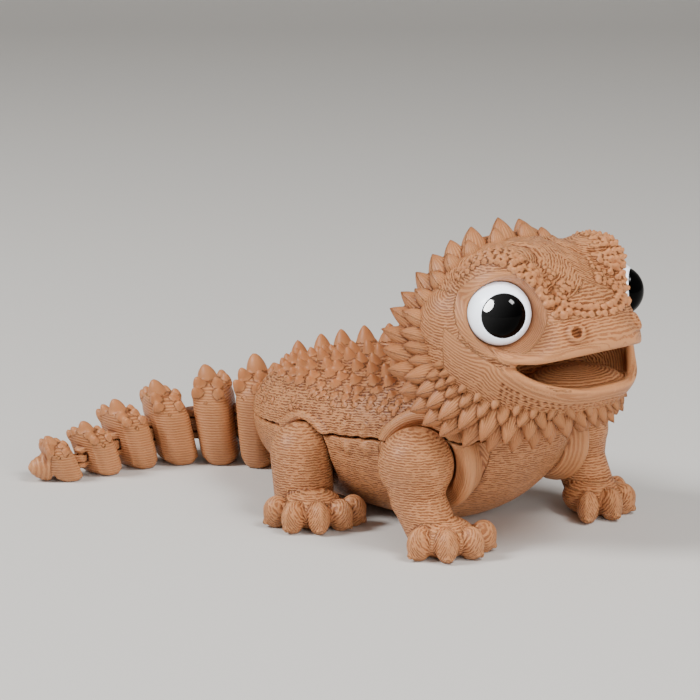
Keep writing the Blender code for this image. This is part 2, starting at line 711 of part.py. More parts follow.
def make_head():
    skull = make_skull()
    rim = Vector((0, 0, 1)).rotation_difference(Vector((0.62, -0.78, 0.1)))
    brows = both_sides(lambda: [ellipsoid(BROW_CENTRE, BROW_SIZE, None, 14, 8)])
    head = fuse([skull] + brows)
    head = cut(head, [mouth_cutter()])
    head = cut(head, [ellipsoid(MOUTH_FLOOR, MOUTH_FLOOR_SIZE, None, 12, 6)])
    head = fuse([head, ellipsoid(TONGUE, TONGUE_SIZE, None, 12, 6)])
    nostril_ring = both_sides(lambda: [ellipsoid(NOSTRIL, (2.0, 2.0, 2.0), rim, 8, 4)])
    head = fuse([head] + nostril_ring)
    sockets = both_sides(lambda: [
        ball(EYE_CENTRE, EYE_RADIUS + GAP, 16, 8),
        rod(EYE_CENTRE, EYE_CENTRE + eye_direction() * 12 * MM, EYE_RADIUS + GAP, EYE_RADIUS + 3.5 * MM, 16),
        ball(NOSTRIL + Vector((1.2, -1.0, 0.2)) * MM, 1.5 * MM, 6, 4),
    ])
    head = cut(head, sockets)
    head = cut(head, both_sides(lambda: [frill_half(0.0, 1.0, FRILL_BAR_RADIUS + GAP)]))
    return cut(head, neck_room())


def build():
    clear_scene()
    toy = bpy.data.collections.new("bearded_dragon_toy")
    bpy.context.scene.collection.children.link(toy)
    plastic = make_material("tan_plastic", PLASTIC, 0.6)
    white = make_material("eye_white", EYE_WHITE, 0.25)
    black = make_material("pupil_black", PUPIL_BLACK, 0.08)

    joints, headings = tail_joints()
    first_height = TAIL[0][3] * MM
    shell = cut(make_torso(), [seam_cutter(-1)])
    shell = fuse([shell] + back_spikes())
    shell = cut(shell, both_sides(leg_pockets))
    shell = cut(shell, head_room())
    neck = [rod(NECK_FOOT, NECK_BALL, NECK_STUB_RADIUS + 1.5 * MM, NECK_STUB_RADIUS),
            ball(NECK_BALL, NECK_BALL_RADIUS)]
    shell = fuse([shell] + neck)
    finish_node(shell, "back_shell", plastic, toy)

    belly = cut(make_torso(), [seam_cutter(1)])
    belly = cut(belly, both_sides(leg_pockets))
    belly = cut(belly, [floor_cutter()])
    belly = cut(belly, [link_room(joints[0], first_height, 1.0)])
    belly = fuse([belly] + link_fork(joints[0], first_height, 1.0, 0.0))
    finish_node(belly, "belly", plastic, toy)

    finish_node(make_head(), "head", plastic, toy)
    for name, start, end in (("crown", 0.0, FRILL_SPLIT), ("beard", FRILL_SPLIT, 1.0)):
        right = make_frill(start, end, FRILL_TIP)
        left = make_frill(start, end, FRILL_TIP_LEFT)
        finish_node(mirrored(left, "left"), name + "_left", plastic, toy)
        bpy.data.objects.remove(left, do_unlink=True)
        finish_node(right, name + "_right", plastic, toy)

    eye = make_eye_white()
    finish_node(mirrored(eye, "left"), "eye_left", white, toy, 60.0)
    finish_node(eye, "eye_right", white, toy, 60.0)
    pupil = make_pupil()
    finish_node(mirrored(pupil, "left"), "pupil_left", black, toy, 60.0)
    finish_node(pupil, "pupil_right", black, toy, 60.0)

    for name, make in (("rear_leg", rear_leg), ("front_leg", front_leg)):
        leg = make()
        finish_node(mirrored(leg, "left"), name + "_left", plastic, toy)
        finish_node(leg, name + "_right", plastic, toy)

    for index in range(len(TAIL)):
        finish_node(tail_slab(index, joints, headings), f"tail_{index + 1}", plastic, toy)


build()
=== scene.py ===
# %% [markdown]
# # A printed bearded dragon toy with a jointed tail
#
# The object is a small plastic toy, 156 mm long with its tail curled, printed layer by layer in one go.
# Its head, legs and tail pieces come off the printer already joined, and they move.
# This script dresses the packed solids of the toy: each one gets a finer skin in the same place.
#
# All lengths below are in millimetres, in the frame of the solids: the head looks along +X,
# the floor is Z = 0, and the animal's right side is -Y.

# %% The frame
import math
import random

import bpy
import bmesh
import numpy as np
from mathutils import Matrix, Vector


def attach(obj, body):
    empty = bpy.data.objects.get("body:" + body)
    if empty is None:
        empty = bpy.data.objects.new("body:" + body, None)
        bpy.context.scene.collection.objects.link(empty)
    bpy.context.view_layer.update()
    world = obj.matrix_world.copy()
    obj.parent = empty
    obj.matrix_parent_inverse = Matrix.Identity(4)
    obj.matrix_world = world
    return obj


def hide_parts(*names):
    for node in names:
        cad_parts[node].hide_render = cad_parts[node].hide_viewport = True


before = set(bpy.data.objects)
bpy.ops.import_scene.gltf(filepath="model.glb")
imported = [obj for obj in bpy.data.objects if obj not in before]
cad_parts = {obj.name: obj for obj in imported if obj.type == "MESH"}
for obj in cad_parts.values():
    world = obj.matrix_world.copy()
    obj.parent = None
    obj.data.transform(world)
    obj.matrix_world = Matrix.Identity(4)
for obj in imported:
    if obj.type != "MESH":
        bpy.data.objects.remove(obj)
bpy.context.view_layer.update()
MM = 0.001

# %% [markdown]
# ## Camera
# The toy was photographed with a long lens from its right front, a little above its back.
# The place of the camera was found by matching the outline of the solids to the photograph.
# A camera looks along its own -Z, so to_track_quat turns its +Z away from the target.

# %% Camera
VIEW_AZIMUTH, VIEW_ELEVATION = 47.59, 12.84     # degrees round from the toy's right side, and up from the floor
VIEW_DISTANCE, LENS = 700.0, 144.0
VIEW_TARGET = (0.0, -20.48, 42.64)


def place_camera(azimuth, elevation, distance, target, lens):
    """A camera on a sphere round its target."""
    a, e = math.radians(azimuth), math.radians(elevation)
    back = Vector((math.sin(a) * math.cos(e), -math.cos(a) * math.cos(e), math.sin(e)))
    data = bpy.data.cameras.new("camera")
    data.lens, data.sensor_width = lens, 36.0
    data.clip_start, data.clip_end = 0.01, 20.0
    camera = bpy.data.objects.new("camera", data)
    camera.location = (Vector(target) + back * distance) * MM
    camera.rotation_euler = back.to_track_quat("Z", "Y").to_euler()
    bpy.context.scene.collection.objects.link(camera)
    bpy.context.scene.camera = camera
    return camera


camera = place_camera(VIEW_AZIMUTH, VIEW_ELEVATION, VIEW_DISTANCE, VIEW_TARGET, LENS)
print("camera at", [round(c, 3) for c in camera.location])

# %% [markdown]
# ## Floor
# The toy stands on a plain pale floor that curves up behind it, as a photographer's paper sweep does.
# One profile is drawn from front to back and stretched sideways, so the bend has no visible edge.

# %% Floor
FLOOR_BACK, FLOOR_BEND = 1.1, 0.5     # metres: where the sweep starts to rise, and the radius of its bend
FLOOR_COLOUR = (0.62, 0.60, 0.57, 1.0)


def make_floor():
    """A paper sweep that faces the camera."""
    profile = [(-3.0, 0.0), (FLOOR_BACK, 0.0)] + [
        (FLOOR_BACK + FLOOR_BEND * math.sin(a), FLOOR_BEND - FLOOR_BEND * math.cos(a))
        for a in np.linspace(0.15, math.pi / 2, 14)]
    profile.append((FLOOR_BACK + FLOOR_BEND, 2.6))
    mesh = bpy.data.meshes.new("floor")
    verts = [(x, y, z) for x in (-4.0, 4.0) for y, z in profile]
    n = len(profile)
    mesh.from_pydata(verts, [], [(i, i + 1, n + i + 1, n + i) for i in range(n - 1)])
    mesh.shade_smooth()
    floor = bpy.data.objects.new("floor", mesh)
    floor.rotation_euler = (0.0, 0.0, math.radians(VIEW_AZIMUTH))
    bpy.context.scene.collection.objects.link(floor)
    material = bpy.data.materials.new("pale_floor")
    material.use_nodes = True
    shader = material.node_tree.nodes["Principled BSDF"]
    shader.inputs["Base Color"].default_value = FLOOR_COLOUR
    shader.inputs["Roughness"].default_value = 0.85
    floor.data.materials.append(material)
    return floor


print("floor:", len(make_floor().data.polygons), "strips")

# %% [markdown]
# ## Light
# A room with a dim, even glow keeps the shadows open. Three area lamps do the rest. The key stands high on the
# left of the camera and models the forms. The window stands high on the right, over the snout, and lights the head
# and the far side. The fill stands low in front and lifts the shade under the jaw. The last two are hidden from
# glossy surfaces, since each would leave a large grey patch in the black of the eyes.

# %% Light
ROOM_COLOUR, ROOM_GLOW = (1.0, 0.98, 0.95, 1.0), 0.24


def area_lamp(name, place, aim, size, power, colour=(1.0, 1.0, 1.0), shape="DISK"):
    """A soft lamp; place, aim and size in metres, power in watts."""
    data = bpy.data.lights.new(name, "AREA")
    data.shape, data.size, data.energy, data.color = shape, size, power, colour
    lamp = bpy.data.objects.new(name, data)
    lamp.location = place
    lamp.rotation_euler = (Vector(place) - Vector(aim)).to_track_quat("Z", "Y").to_euler()
    bpy.context.scene.collection.objects.link(lamp)
    return lamp


world = bpy.data.worlds.new("room")
world.use_nodes = True
world.node_tree.nodes["Background"].inputs["Color"].default_value = ROOM_COLOUR
world.node_tree.nodes["Background"].inputs["Strength"].default_value = ROOM_GLOW
bpy.context.scene.world = world
key = area_lamp("key_lamp", (-0.42, -0.80, 0.80), (0.0, 0.0, 0.04), 0.42, 16.0)
window = area_lamp("window_lamp", (0.53, 0.10, 0.80), (0.03, 0.0, 0.05), 0.36, 6.5, shape="SQUARE")
fill = area_lamp("fill_lamp", (0.78, -0.22, 0.22), (0.03, 0.0, 0.04), 0.6, 4.8)
window.visible_glossy = fill.visible_glossy = False
print("lamps:", key.name, window.name, fill.name)

# %% [markdown]
# ## Working with surfaces
# The skins are made in three steps. Plain closed forms are placed first: lofts through sections, eggs, cones.
# Then a voxel remesh melts those that overlap into one skin with even faces. Last, the skin is relaxed a little,
# which rounds the creases where forms meet, as the molten plastic of a print does.

# %% Curves and closed forms
def smooth(points, count):
    """Even steps along a smooth curve through points, of any number of values each."""
    p = np.array(points, float)
    p = np.vstack([2 * p[0] - p[1], p, 2 * p[-1] - p[-2]])
    place = np.linspace(0, len(points) - 1, count)
    i = np.minimum(place.astype(int), len(points) - 2)
    t = (place - i)[:, None]
    a, b, c, d = p[i], p[i + 1], p[i + 2], p[i + 3]
    return 0.5 * (2 * b + (c - a) * t + (2 * a - 5 * b + 4 * c - d) * t ** 2 + (3 * b - a - 3 * c + d) * t ** 3)


def solid(points, faces):
    """A closed mesh object from points in millimetres, with its faces turned outwards."""
    mesh = bpy.data.meshes.new("form")
    mesh.from_pydata((np.asarray(points) * MM).tolist(), [], faces)
    b = bmesh.new()
    b.from_mesh(mesh)
    bmesh.ops.recalc_face_normals(b, faces=b.faces)
    b.to_mesh(mesh)
    b.free()
    obj = bpy.data.objects.new("form", mesh)
    bpy.context.scene.collection.objects.link(obj)
    return obj


def loft(rings):
    """A closed form through rings of points, capped at both ends."""
    rings = np.asarray(rings, float)
    n, m, _ = rings.shape
    k = np.arange(n * m).reshape(n, m)
    r = np.roll(k, -1, axis=1)
    sides = np.stack([k[:-1], r[:-1], r[1:], k[1:]], axis=-1).reshape(-1, 4).tolist()
    return solid(rings.reshape(-1, 3), sides + [k[0][::-1].tolist(), k[-1].tolist()])


def turned(direction):
    """The turn that carries +Z to a direction, as a matrix."""
    return np.array(Vector((0, 0, 1)).rotation_difference(Vector(direction)).to_matrix())


def lathe(root, direction, profile, sides):
    """A form turned about a direction: profile rows are (distance along it, radius)."""
    turn, rings = turned(direction), []
    angles = np.arange(sides) * 2 * math.pi / sides
    for along, radius in profile:
        ring = np.stack([radius * np.cos(angles), radius * np.sin(angles), np.full(sides, along)], axis=1)
        rings.append(ring @ turn.T + np.array(root))
    return loft(rings)


def egg(centre, size, heading=0.0, detail=24):
    """An egg-shaped solid with three radii, turned about the vertical."""
    c, s = math.cos(heading), math.sin(heading)
    turn = np.array([[c, -s, 0], [s, c, 0], [0, 0, 1]])
    rings = []
    for a in np.linspace(0.04, math.pi - 0.04, detail // 2 + 1):
        b = np.arange(detail) * 2 * math.pi / detail
        ring = np.stack([np.sin(a) * np.cos(b), np.sin(a) * np.sin(b), np.full(detail, np.cos(a))], axis=1)
        rings.append((ring * np.array(size)) @ turn.T + np.array(centre))
    return loft(rings)


print("a curve through 3 points, in steps:", len(smooth([(0, 0), (1, 2), (3, 1)], 9)))

# %% [markdown]
# A tube follows a path, a section gives one rounded slice of a body, and mirror makes the left side from the right.
# A mirrored mesh is inside out until its faces are flipped.

# %% Bars, slices and mirrored forms
def tube(path, radius, sides=12):
    """A round bar along a path; radius is one number or one for each point."""
    path = np.asarray(path, float)
    radius = np.broadcast_to(radius, len(path))
    ahead = np.gradient(path, axis=0)
    ahead /= np.linalg.norm(ahead, axis=1)[:, None]
    side = np.cross(ahead, (0.0, 0.0, 1.0) if abs(ahead[:, 2]).mean() < 0.8 else (1.0, 0.0, 0.0))
    side /= np.linalg.norm(side, axis=1)[:, None]
    other = np.cross(side, ahead)
    angles = np.arange(sides) * 2 * math.pi / sides
    rings = [p + r * (np.outer(np.cos(angles), s) + np.outer(np.sin(angles), o))
             for p, r, s, o in zip(path, radius, side, other)]
    return loft(rings)


def section(x, low, high, half, widest, power, sides):
    """A rounded section across X, widest at a share of its height."""
    angle = np.arange(sides) * 2 * math.pi / sides
    c, s = np.cos(angle), np.sin(angle)
    middle = low + (high - low) * widest
    reach = np.where(s > 0, high - middle, middle - low)
    y = half * np.sign(c) * np.abs(c) ** (2 / power)
    z = middle + reach * np.sign(s) * np.abs(s) ** (2 / power)
    return np.stack([np.full(sides, x), y, z], axis=1)


def block(low, high):
    """A box between two corners."""
    (x0, y0, z0), (x1, y1, z1) = low, high
    return loft([[(x0, y0, z), (x1, y0, z), (x1, y1, z), (x0, y1, z)] for z in (z0, z1)])


def mirror(obj):
    """The same form on the other side of the toy."""
    copy = bpy.data.objects.new(obj.name, obj.data.copy())
    copy.data.transform(Matrix.Scale(-1, 4, Vector((0, 1, 0))))
    copy.data.flip_normals()
    bpy.context.scene.collection.objects.link(copy)
    return copy


def both(forms):
    """Forms of the right side and their mirrored copies."""
    return forms + [mirror(form) for form in forms]


print("points in one slice:", len(section(0.0, 0.0, 2.0, 1.0, 0.5, 2.0, 12)))

# %% [markdown]
# These steps join, carve and relax. Carving takes one closed form out of another, for sockets and the mouth,
# and another remesh follows it so that the faces stay even.

# %% Joining, carving and relaxing
def baked(obj):
    """Applies an object's modifiers."""
    mesh = bpy.data.meshes.new_from_object(obj.evaluated_get(bpy.context.evaluated_depsgraph_get()))
    obj.modifiers.clear()
    old, obj.data = obj.data, mesh
    bpy.data.meshes.remove(old)
    return obj


def gather(forms):
    """All forms as the loose parts of one mesh; the forms are used up."""
    b = bmesh.new()
    for form in forms:
        b.from_mesh(form.data)
        bpy.data.objects.remove(form, do_unlink=True)
    mesh = bpy.data.meshes.new("gathered")
    b.to_mesh(mesh)
    b.free()
    obj = bpy.data.objects.new("gathered", mesh)
    bpy.context.scene.collection.objects.link(obj)
    return obj


def melt(forms, voxel, relax):
    """One skin around forms that overlap; voxel is the size of its faces."""
    obj = gather(forms)
    remesh = obj.modifiers.new("melt", "REMESH")
    remesh.mode, remesh.voxel_size, remesh.adaptivity = "VOXEL", voxel * MM, 0.0
    if relax:
        even = obj.modifiers.new("relax", "SMOOTH")
        even.factor, even.iterations = 0.5, relax
    return baked(obj)


def carve(obj, cutters):
    """Takes the cutters out of a form and uses them up."""
    for cutter in cutters:
        difference = obj.modifiers.new("carve", "BOOLEAN")
        difference.operation, difference.object, difference.solver = "DIFFERENCE", cutter, "MANIFOLD"
        baked(obj)
        bpy.data.objects.remove(cutter, do_unlink=True)
    return obj


print("meshes before the first skin:", len(bpy.data.meshes))

# %% [markdown]
# Some details are too fine or too soft to be built from forms. They are made by moving the points of a skin:
# push raises or sinks it near some spots. The same arrays of points also say how far each place lies below its
# neighbours, which the material turns into painted shade in the creases and painted highlight on the edges.

# %% Points of a skin
def points_of(obj):
    """Vertex places in millimetres, and normals, as arrays."""
    n = len(obj.data.vertices)
    place, normal = np.empty(n * 3, np.float32), np.empty(n * 3, np.float32)
    obj.data.vertices.foreach_get("co", place)
    obj.data.vertex_normals.foreach_get("vector", normal)
    return place.reshape(-1, 3) / MM, normal.reshape(-1, 3)


def move_points(obj, place):
    """Sets the places of all vertices, in millimetres."""
    obj.data.vertices.foreach_set("co", (place * MM).astype(np.float32).ravel())
    obj.data.update()


def attribute(obj, name, values):
    """Stores one number for each vertex, for the material to read."""
    layer = obj.data.attributes.get(name) or obj.data.attributes.new(name, "FLOAT", "POINT")
    layer.data.foreach_set("value", np.asarray(values, np.float32))


def push(obj, spots, height, width):
    """Raises (+) or sinks (-) the skin near any of the spots, fading out over a width."""
    place, normal = points_of(obj)
    spots = np.asarray(spots, float)
    near = np.flatnonzero(np.all((place > spots.min(0) - 3 * width) & (place < spots.max(0) + 3 * width), axis=1))
    for part in np.array_split(near, len(near) // 4000 + 1):
        gap = np.full(len(part), 1e9)
        for spot in spots:
            gap = np.minimum(gap, ((place[part] - spot) ** 2).sum(axis=1))
        place[part] += normal[part] * (height * np.exp(-gap / width ** 2))[:, None]
    move_points(obj, place)


def on_skin(skin, point):
    """The nearest place on a skin and the way it faces."""
    _, spot, facing, _ = skin.closest_point_on_mesh(Vector(point) * MM)
    return np.array(spot) / MM, np.array(facing)


def hollowness(obj, rounds):
    """How far each vertex lies below (+) or above (-) its neighbours, in millimetres."""
    place, normal = points_of(obj)
    n = len(place)
    edges = np.empty(len(obj.data.edges) * 2, np.int32)
    obj.data.edges.foreach_get("vertices", edges)
    a, b = edges[::2], edges[1::2]
    count = np.bincount(a, minlength=n) + np.bincount(b, minlength=n)
    mean = place.copy()
    for _ in range(rounds):
        total = np.stack([np.bincount(a, mean[b, i], n) + np.bincount(b, mean[a, i], n) for i in range(3)], axis=1)
        mean = total / np.maximum(count, 1)[:, None]
    return np.einsum("ij,ij->i", mean - place, normal)


print("points of the floor:", len(points_of(bpy.data.objects["floor"])[0]))

# %% [markdown]
# ## Node trees
# A material is a tree of nodes. This small helper adds a node, sets its values and links its inputs in one line,
# so that the recipe of the plastic below reads like a list of steps.

# %% Node helper
class Nodes:
    """A short way to write a node tree."""

    def __init__(self, tree):
        self.tree = tree

    def add(self, kind, inputs=(), **settings):
        """A new node; each input is a value or the output of another node."""
        node = self.tree.nodes.new(kind)
        for key, value in settings.items():
            setattr(node, key, value)
        for key, value in dict(inputs).items():
            if isinstance(value, bpy.types.NodeSocket):
                self.tree.links.new(value, node.inputs[key])
            else:
                node.inputs[key].default_value = value
        return node

    def math(self, operation, a, b=0.0, c=0.0):
        """One sum; each input is a number or the output of another node."""
        return self.add("ShaderNodeMath", {0: a, 1: b, 2: c}, operation=operation).outputs[0]

    def step(self, value, low, high, to_low=0.0, to_high=1.0):
        """A soft step from one level to another."""
        return self.add("ShaderNodeMapRange", {0: value, 1: low, 2: high, 3: to_low, 4: to_high},
                        interpolation_type="SMOOTHSTEP").outputs[0]

    def noise(self, spot, scale, detail=2.0):
        """Cloudy noise; scale is in blobs for each metre."""
        return self.add("ShaderNodeTexNoise", {"Vector": spot, "Scale": scale, "Detail": detail}).outputs["Fac"]

    def ramp(self, value, stops):
        """Colours in order along a value."""
        node = self.add("ShaderNodeValToRGB", {"Fac": value})
        ramp = node.color_ramp
        while len(ramp.elements) < len(stops):
            ramp.elements.new(0.5)
        for element, (position, colour) in zip(ramp.elements, stops):
            element.position, element.color = position, colour
        return node.outputs["Color"]


print("node helper:", [name for name in vars(Nodes) if name[0] != "_"])

# %% [markdown]
# ## The plastic
# A filament printer lays the toy down in thin lines. Up close the tan plastic shows light ridges with orange-brown
# slits between them, and on the textured surfaces the slits break into dashes of a millimetre or two, like a maze.
# An image of the lines would have to be wrapped round every piece. Here each skin carries a value called layer
# instead, which rises by one from one line to the next, and the material draws the slits from it.
# A second value, broken, says how ragged the slits are. A third, tip, paints the thin ends of the spikes redder,
# as a painted glow for the light that passes through them. A fourth value is painted shade in the creases and a
# painted highlight on the sharp edges.

# %% Plastic material
LINE_PITCH = 0.62         # millimetres from one printed line to the next
# the groove colour is painted shade in the slits and the ridge colour a painted highlight on the ridges; the body
# colour is the plastic's own
RIDGE_HIGHLIGHT_COLOUR = (0.520, 0.232, 0.100, 1.0)
BODY_COLOUR = (0.370, 0.146, 0.058, 1.0)
GROOVE_SHADE_COLOUR = (0.150, 0.044, 0.013, 1.0)
# painted glow: the redder colour of thin tips stands in for light passing through them
TIP_GLOW_COLOUR = (0.380, 0.132, 0.044, 1.0)
WANDER_SCALE, DASH_SCALE, GRAIN_SCALE, TONE_SCALE = 650.0, 760.0, 1500.0, 60.0     # blobs for each metre
LINE_JUMP = 3.7           # moves the dashes of one line well away from those of the next
LINE_DEPTH = 0.26         # millimetres


def plastic(name):
    """Printed plastic with ridges and broken slits."""
    material = bpy.data.materials.new(name)
    material.use_nodes = True
    n = Nodes(material.node_tree)
    shader = material.node_tree.nodes["Principled BSDF"]
    spot = n.add("ShaderNodeTexCoord").outputs["Object"]
    layer, shade_and_highlight, broken, tip = [n.add("ShaderNodeAttribute", attribute_name=a).outputs["Fac"]
                                  for a in ("layer", "shade_and_highlight", "broken", "tip")]
    # the lines wander a little, more so where the surface is ragged
    wander = n.math("SUBTRACT", n.noise(spot, WANDER_SCALE), 0.5)
    phase = n.math("ADD", layer, n.math("MULTIPLY", wander, n.math("MULTIPLY_ADD", broken, 1.3, 0.25)))
    line = n.math("FLOOR", n.math("ADD", phase, 0.5))
    wave = n.math("MULTIPLY_ADD", n.math("COSINE", n.math("MULTIPLY", phase, 2 * math.pi)), 0.5, 0.5)
    slit = n.step(wave, 0.22, 0.82)
    # each line has dashes of its own, from a noise whose fourth coordinate is the number of the line
    dash = n.add("ShaderNodeTexNoise", {"Vector": spot, "W": n.math("MULTIPLY", line, LINE_JUMP),
                                        "Scale": DASH_SCALE, "Detail": 1.0}, noise_dimensions="4D").outputs["Fac"]
    dash = n.step(n.math("MULTIPLY_ADD", broken, -0.20, n.math("ADD", dash, 0.20)), 0.42, 0.56)
    strength = n.math("MULTIPLY_ADD", dash, n.math("MULTIPLY_ADD", broken, 0.42, 0.18),
                      n.math("MULTIPLY_ADD", broken, 0.04, 0.24))
    depth = n.math("MULTIPLY", slit, strength)
    grain = n.math("SUBTRACT", n.noise(spot, GRAIN_SCALE), 0.5)
    height = n.math("SUBTRACT", n.math("MULTIPLY_ADD", grain, 0.25, 1.0), depth)
    # the height of the surface picks the colour, from groove to ridge: painted shade in the slits and painted
    # highlight on the ridges, over the real bump
    # painted shade: creases darken, and convex edges lighten as a painted highlight
    tint = n.math("SUBTRACT", height, n.math("MULTIPLY", shade_and_highlight, 0.75))
    colour = n.ramp(tint, [(0.0, GROOVE_SHADE_COLOUR), (0.55, BODY_COLOUR), (1.0, RIDGE_HIGHLIGHT_COLOUR)])
    # painted glow of the light that passes through the thin tips
    colour = n.add("ShaderNodeMix", {0: n.math("MULTIPLY", tip, 0.75), 6: colour, 7: TIP_GLOW_COLOUR},
                   data_type="RGBA").outputs[2]
    tone = n.step(n.noise(spot, TONE_SCALE), 0.3, 0.7, 0.93, 1.07)
    mixed = n.add("ShaderNodeVectorMath", {0: colour, "Scale": tone}, operation="SCALE").outputs[0]
    material.node_tree.links.new(mixed, shader.inputs["Base Color"])
    bump = n.add("ShaderNodeBump", {"Height": height, "Strength": 1.0, "Distance": LINE_DEPTH * MM})
    material.node_tree.links.new(bump.outputs[0], shader.inputs["Normal"])
    shader.inputs["Roughness"].default_value = 0.48
    shader.inputs["Specular IOR Level"].default_value = 0.35
    shader.inputs["Subsurface Weight"].default_value = 0.12
    shader.inputs["Subsurface Radius"].default_value = (1.0, 0.42, 0.18)
    shader.inputs["Subsurface Scale"].default_value = 1.0 * MM
    return material


tan = plastic("tan_print")
print("plastic:", len(tan.node_tree.nodes), "nodes")

# %% [markdown]
# ## Dressing
# A finished skin gets its values and its material, rides on a body of the toy, and stands in for one of its solids.
# A value that is the same all over a skin is given as one number.

# %% Dressing a piece
# rounds of averaging, and how strongly hollowness turns into painted shade and painted highlight
HOLLOW_ROUNDS, SHADE_GAIN = 8, 4.5


def dress(obj, name, body, node, layer=None, broken=0.6, tip=0.0, material=None):
    """Names a skin, gives it its line values and material, and hands it to the frame."""
    place, _ = points_of(obj)
    if layer is None:
        layer = place[:, 2] / LINE_PITCH
    attribute(obj, "layer", layer)
    attribute(obj, "broken", np.broadcast_to(broken, len(place)))
    attribute(obj, "tip", np.broadcast_to(tip, len(place)))
    # painted shade where the skin lies below its neighbours, painted highlight where it stands above them
    attribute(obj, "shade_and_highlight", np.clip(hollowness(obj, HOLLOW_ROUNDS) * SHADE_GAIN, -0.5, 1.0))
    obj.name = obj.data.name = name
    obj.data.materials.clear()
    obj.data.materials.append(material or tan)
    obj.data.shade_smooth()
    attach(obj, body)
    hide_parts(node)
    print(f"{name}: {len(obj.data.polygons)} faces")


print("solids to dress:", len(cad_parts))

# %% [markdown]
# ## Torso
# The torso is a long egg in two halves, a bumpy back shell and a plain belly, which meet along a seam at mid-height.
# Sections along the body give its shape. The legs take their room out of it: the room is the leg's own form,
# a little larger, turned through the angles that the leg can swing.

# %% Torso sizes and forms
TORSO = [  # x, underside, top, half width
    (-46.3, 7.0, 25.0, 10.0), (-44.5, 5.0, 28.5, 14.0), (-39.5, 3.0, 31.5, 18.5), (-31.0, 0.8, 34.5, 23.0),
    (-19.0, -0.8, 37.5, 26.5), (-6.0, -1.0, 40.0, 28.2), (8.0, -1.0, 41.5, 28.8), (20.0, -0.2, 42.0, 27.0),
    (31.0, 4.4, 41.0, 23.5), (40.0, 11.5, 38.0, 18.0), (46.0, 18.5, 34.0, 11.0), (48.0, 22.5, 30.0, 6.0),
]
WIDEST, TORSO_POWER = 0.58, 2.15     # where a slice is widest, as a share of its height, and how square it is
SEAM_X, SEAM_Z, SEAM_SLOPE, SEAM_GAP = 4.0, 22.5, 0.10, 0.7
HEAD_WIDEST, HEAD_POWER = 0.5, 2.25
HEAD = [  # x, underside, top, half width
    (20.5, 45.0, 58.0, 9.0), (22.0, 39.0, 64.0, 16.0), (26.5, 33.5, 69.5, 22.5), (33.0, 30.0, 73.0, 26.5),
    (40.0, 28.5, 74.0, 28.2), (47.0, 28.5, 73.6, 27.4), (53.5, 29.5, 71.0, 24.6), (59.0, 31.6, 67.0, 20.4),
    (64.5, 35.0, 62.6, 15.9), (69.0, 39.2, 59.2, 11.0), (71.9, 44.0, 57.2, 7.0), (73.5, 49.0, 55.4, 3.6),
]
NECK_BALL, NECK_FOOT = np.array((31.0, 0.0, 47.0)), np.array((14.0, 0.0, 33.0))
HEAD_TURN = 10.0
REAR_HIP, REAR_BALL, REAR_RADIUS = np.array((-8.0, -30.0, 16.4)), np.array((-8.0, -13.5, 15.4)), 7.75
SHOULDER, FRONT_BALL, SHOULDER_RADIUS = np.array((31.4, -27.5, 20.5)), np.array((31.4, -11.5, 20.5)), 9.3
ELBOW, WRIST = np.array((33.0, -28.5, 13.0)), np.array((38.0, -28.0, 5.0))
REAR_SWING, FRONT_SWING = (-10.0, 20.0), (-20.0, 20.0)
TAIL_JOINT = np.array((-48.5, 0.0, 0.0))


def torso_form():
    """The whole torso, before it is cut in two."""
    return loft([section(*row, WIDEST, TORSO_POWER, 96) for row in smooth(TORSO, 70)])


def skull_form(grow=0.0):
    """The plain skull, or a larger copy of it."""
    return loft([section(x, low - grow, high + grow, half + grow, HEAD_WIDEST, HEAD_POWER, 96)
                 for x, low, high, half in smooth(HEAD, 70)])


def seam(x):
    """The height of the seam at a place along the torso."""
    return SEAM_Z + SEAM_SLOPE * (x - SEAM_X)


def seam_cutter(upper):
    """Everything above the seam, or everything below it; the edge of the shell hangs in shallow scallops."""
    x = np.linspace(-70, 70, 281)
    edge = seam(x) + (SEAM_GAP / 2 if not upper else -SEAM_GAP / 2) + 0.30 * np.abs(np.sin(x / 4.4 * math.pi))
    far = 80.0 if upper else -40.0
    outline = list(zip(x, edge)) + [(70.0, far), (-70.0, far)]
    return loft([[(px, y, pz) for px, pz in outline] for y in (-60.0, 60.0)])


def swing(obj, centre, angle, axis="Y"):
    """Turns a form about an axis through a point."""
    c, turn = Vector(centre) * MM, Matrix.Rotation(math.radians(angle), 4, axis)
    obj.data.transform(Matrix.Translation(c) @ turn @ Matrix.Translation(-c))
    return obj


print("the seam rises from", seam(-46.0), "to", seam(46.0))

# %% [markdown]
# ## Room to move
# A leg that swings would cut through a torso that only fits it at rest. So the limb's own form, half a millimetre
# larger, is turned to several angles between the ends of its swing, and all of these are carved out together.
# The head leaves its room in the front of the torso in the same way.

# %% Limbs and the room they need
LEG_CLEARANCE, HEAD_CLEARANCE = 0.55, 0.9


def capsule(start, end, radius, radius_end, sides=32):
    """A bar with round ends."""
    start, end = np.array(start, float), np.array(end, float)
    length = np.linalg.norm(end - start)
    profile = [(-radius * math.cos(a), radius * math.sin(a)) for a in np.linspace(0.12, math.pi / 2, 8)]
    profile += [(length + radius_end * math.sin(a), radius_end * math.cos(a)) for a in np.linspace(0.0, 1.45, 8)]
    return lathe(start, end - start, profile, sides)


def rear_limb(grow):
    """The right rear leg without its foot: a column, and a drum that reaches into the torso."""
    ankle = REAR_HIP + (2.8, -1.0, -14.0)
    return [capsule(REAR_HIP, ankle, REAR_RADIUS + grow, REAR_RADIUS * 0.96 + grow),
            lathe((REAR_HIP[0], -21.7, REAR_HIP[2]), (0, -1, 0), [(0.0, 6.9 + grow), (8.3, 7.4 + grow)], 32)]


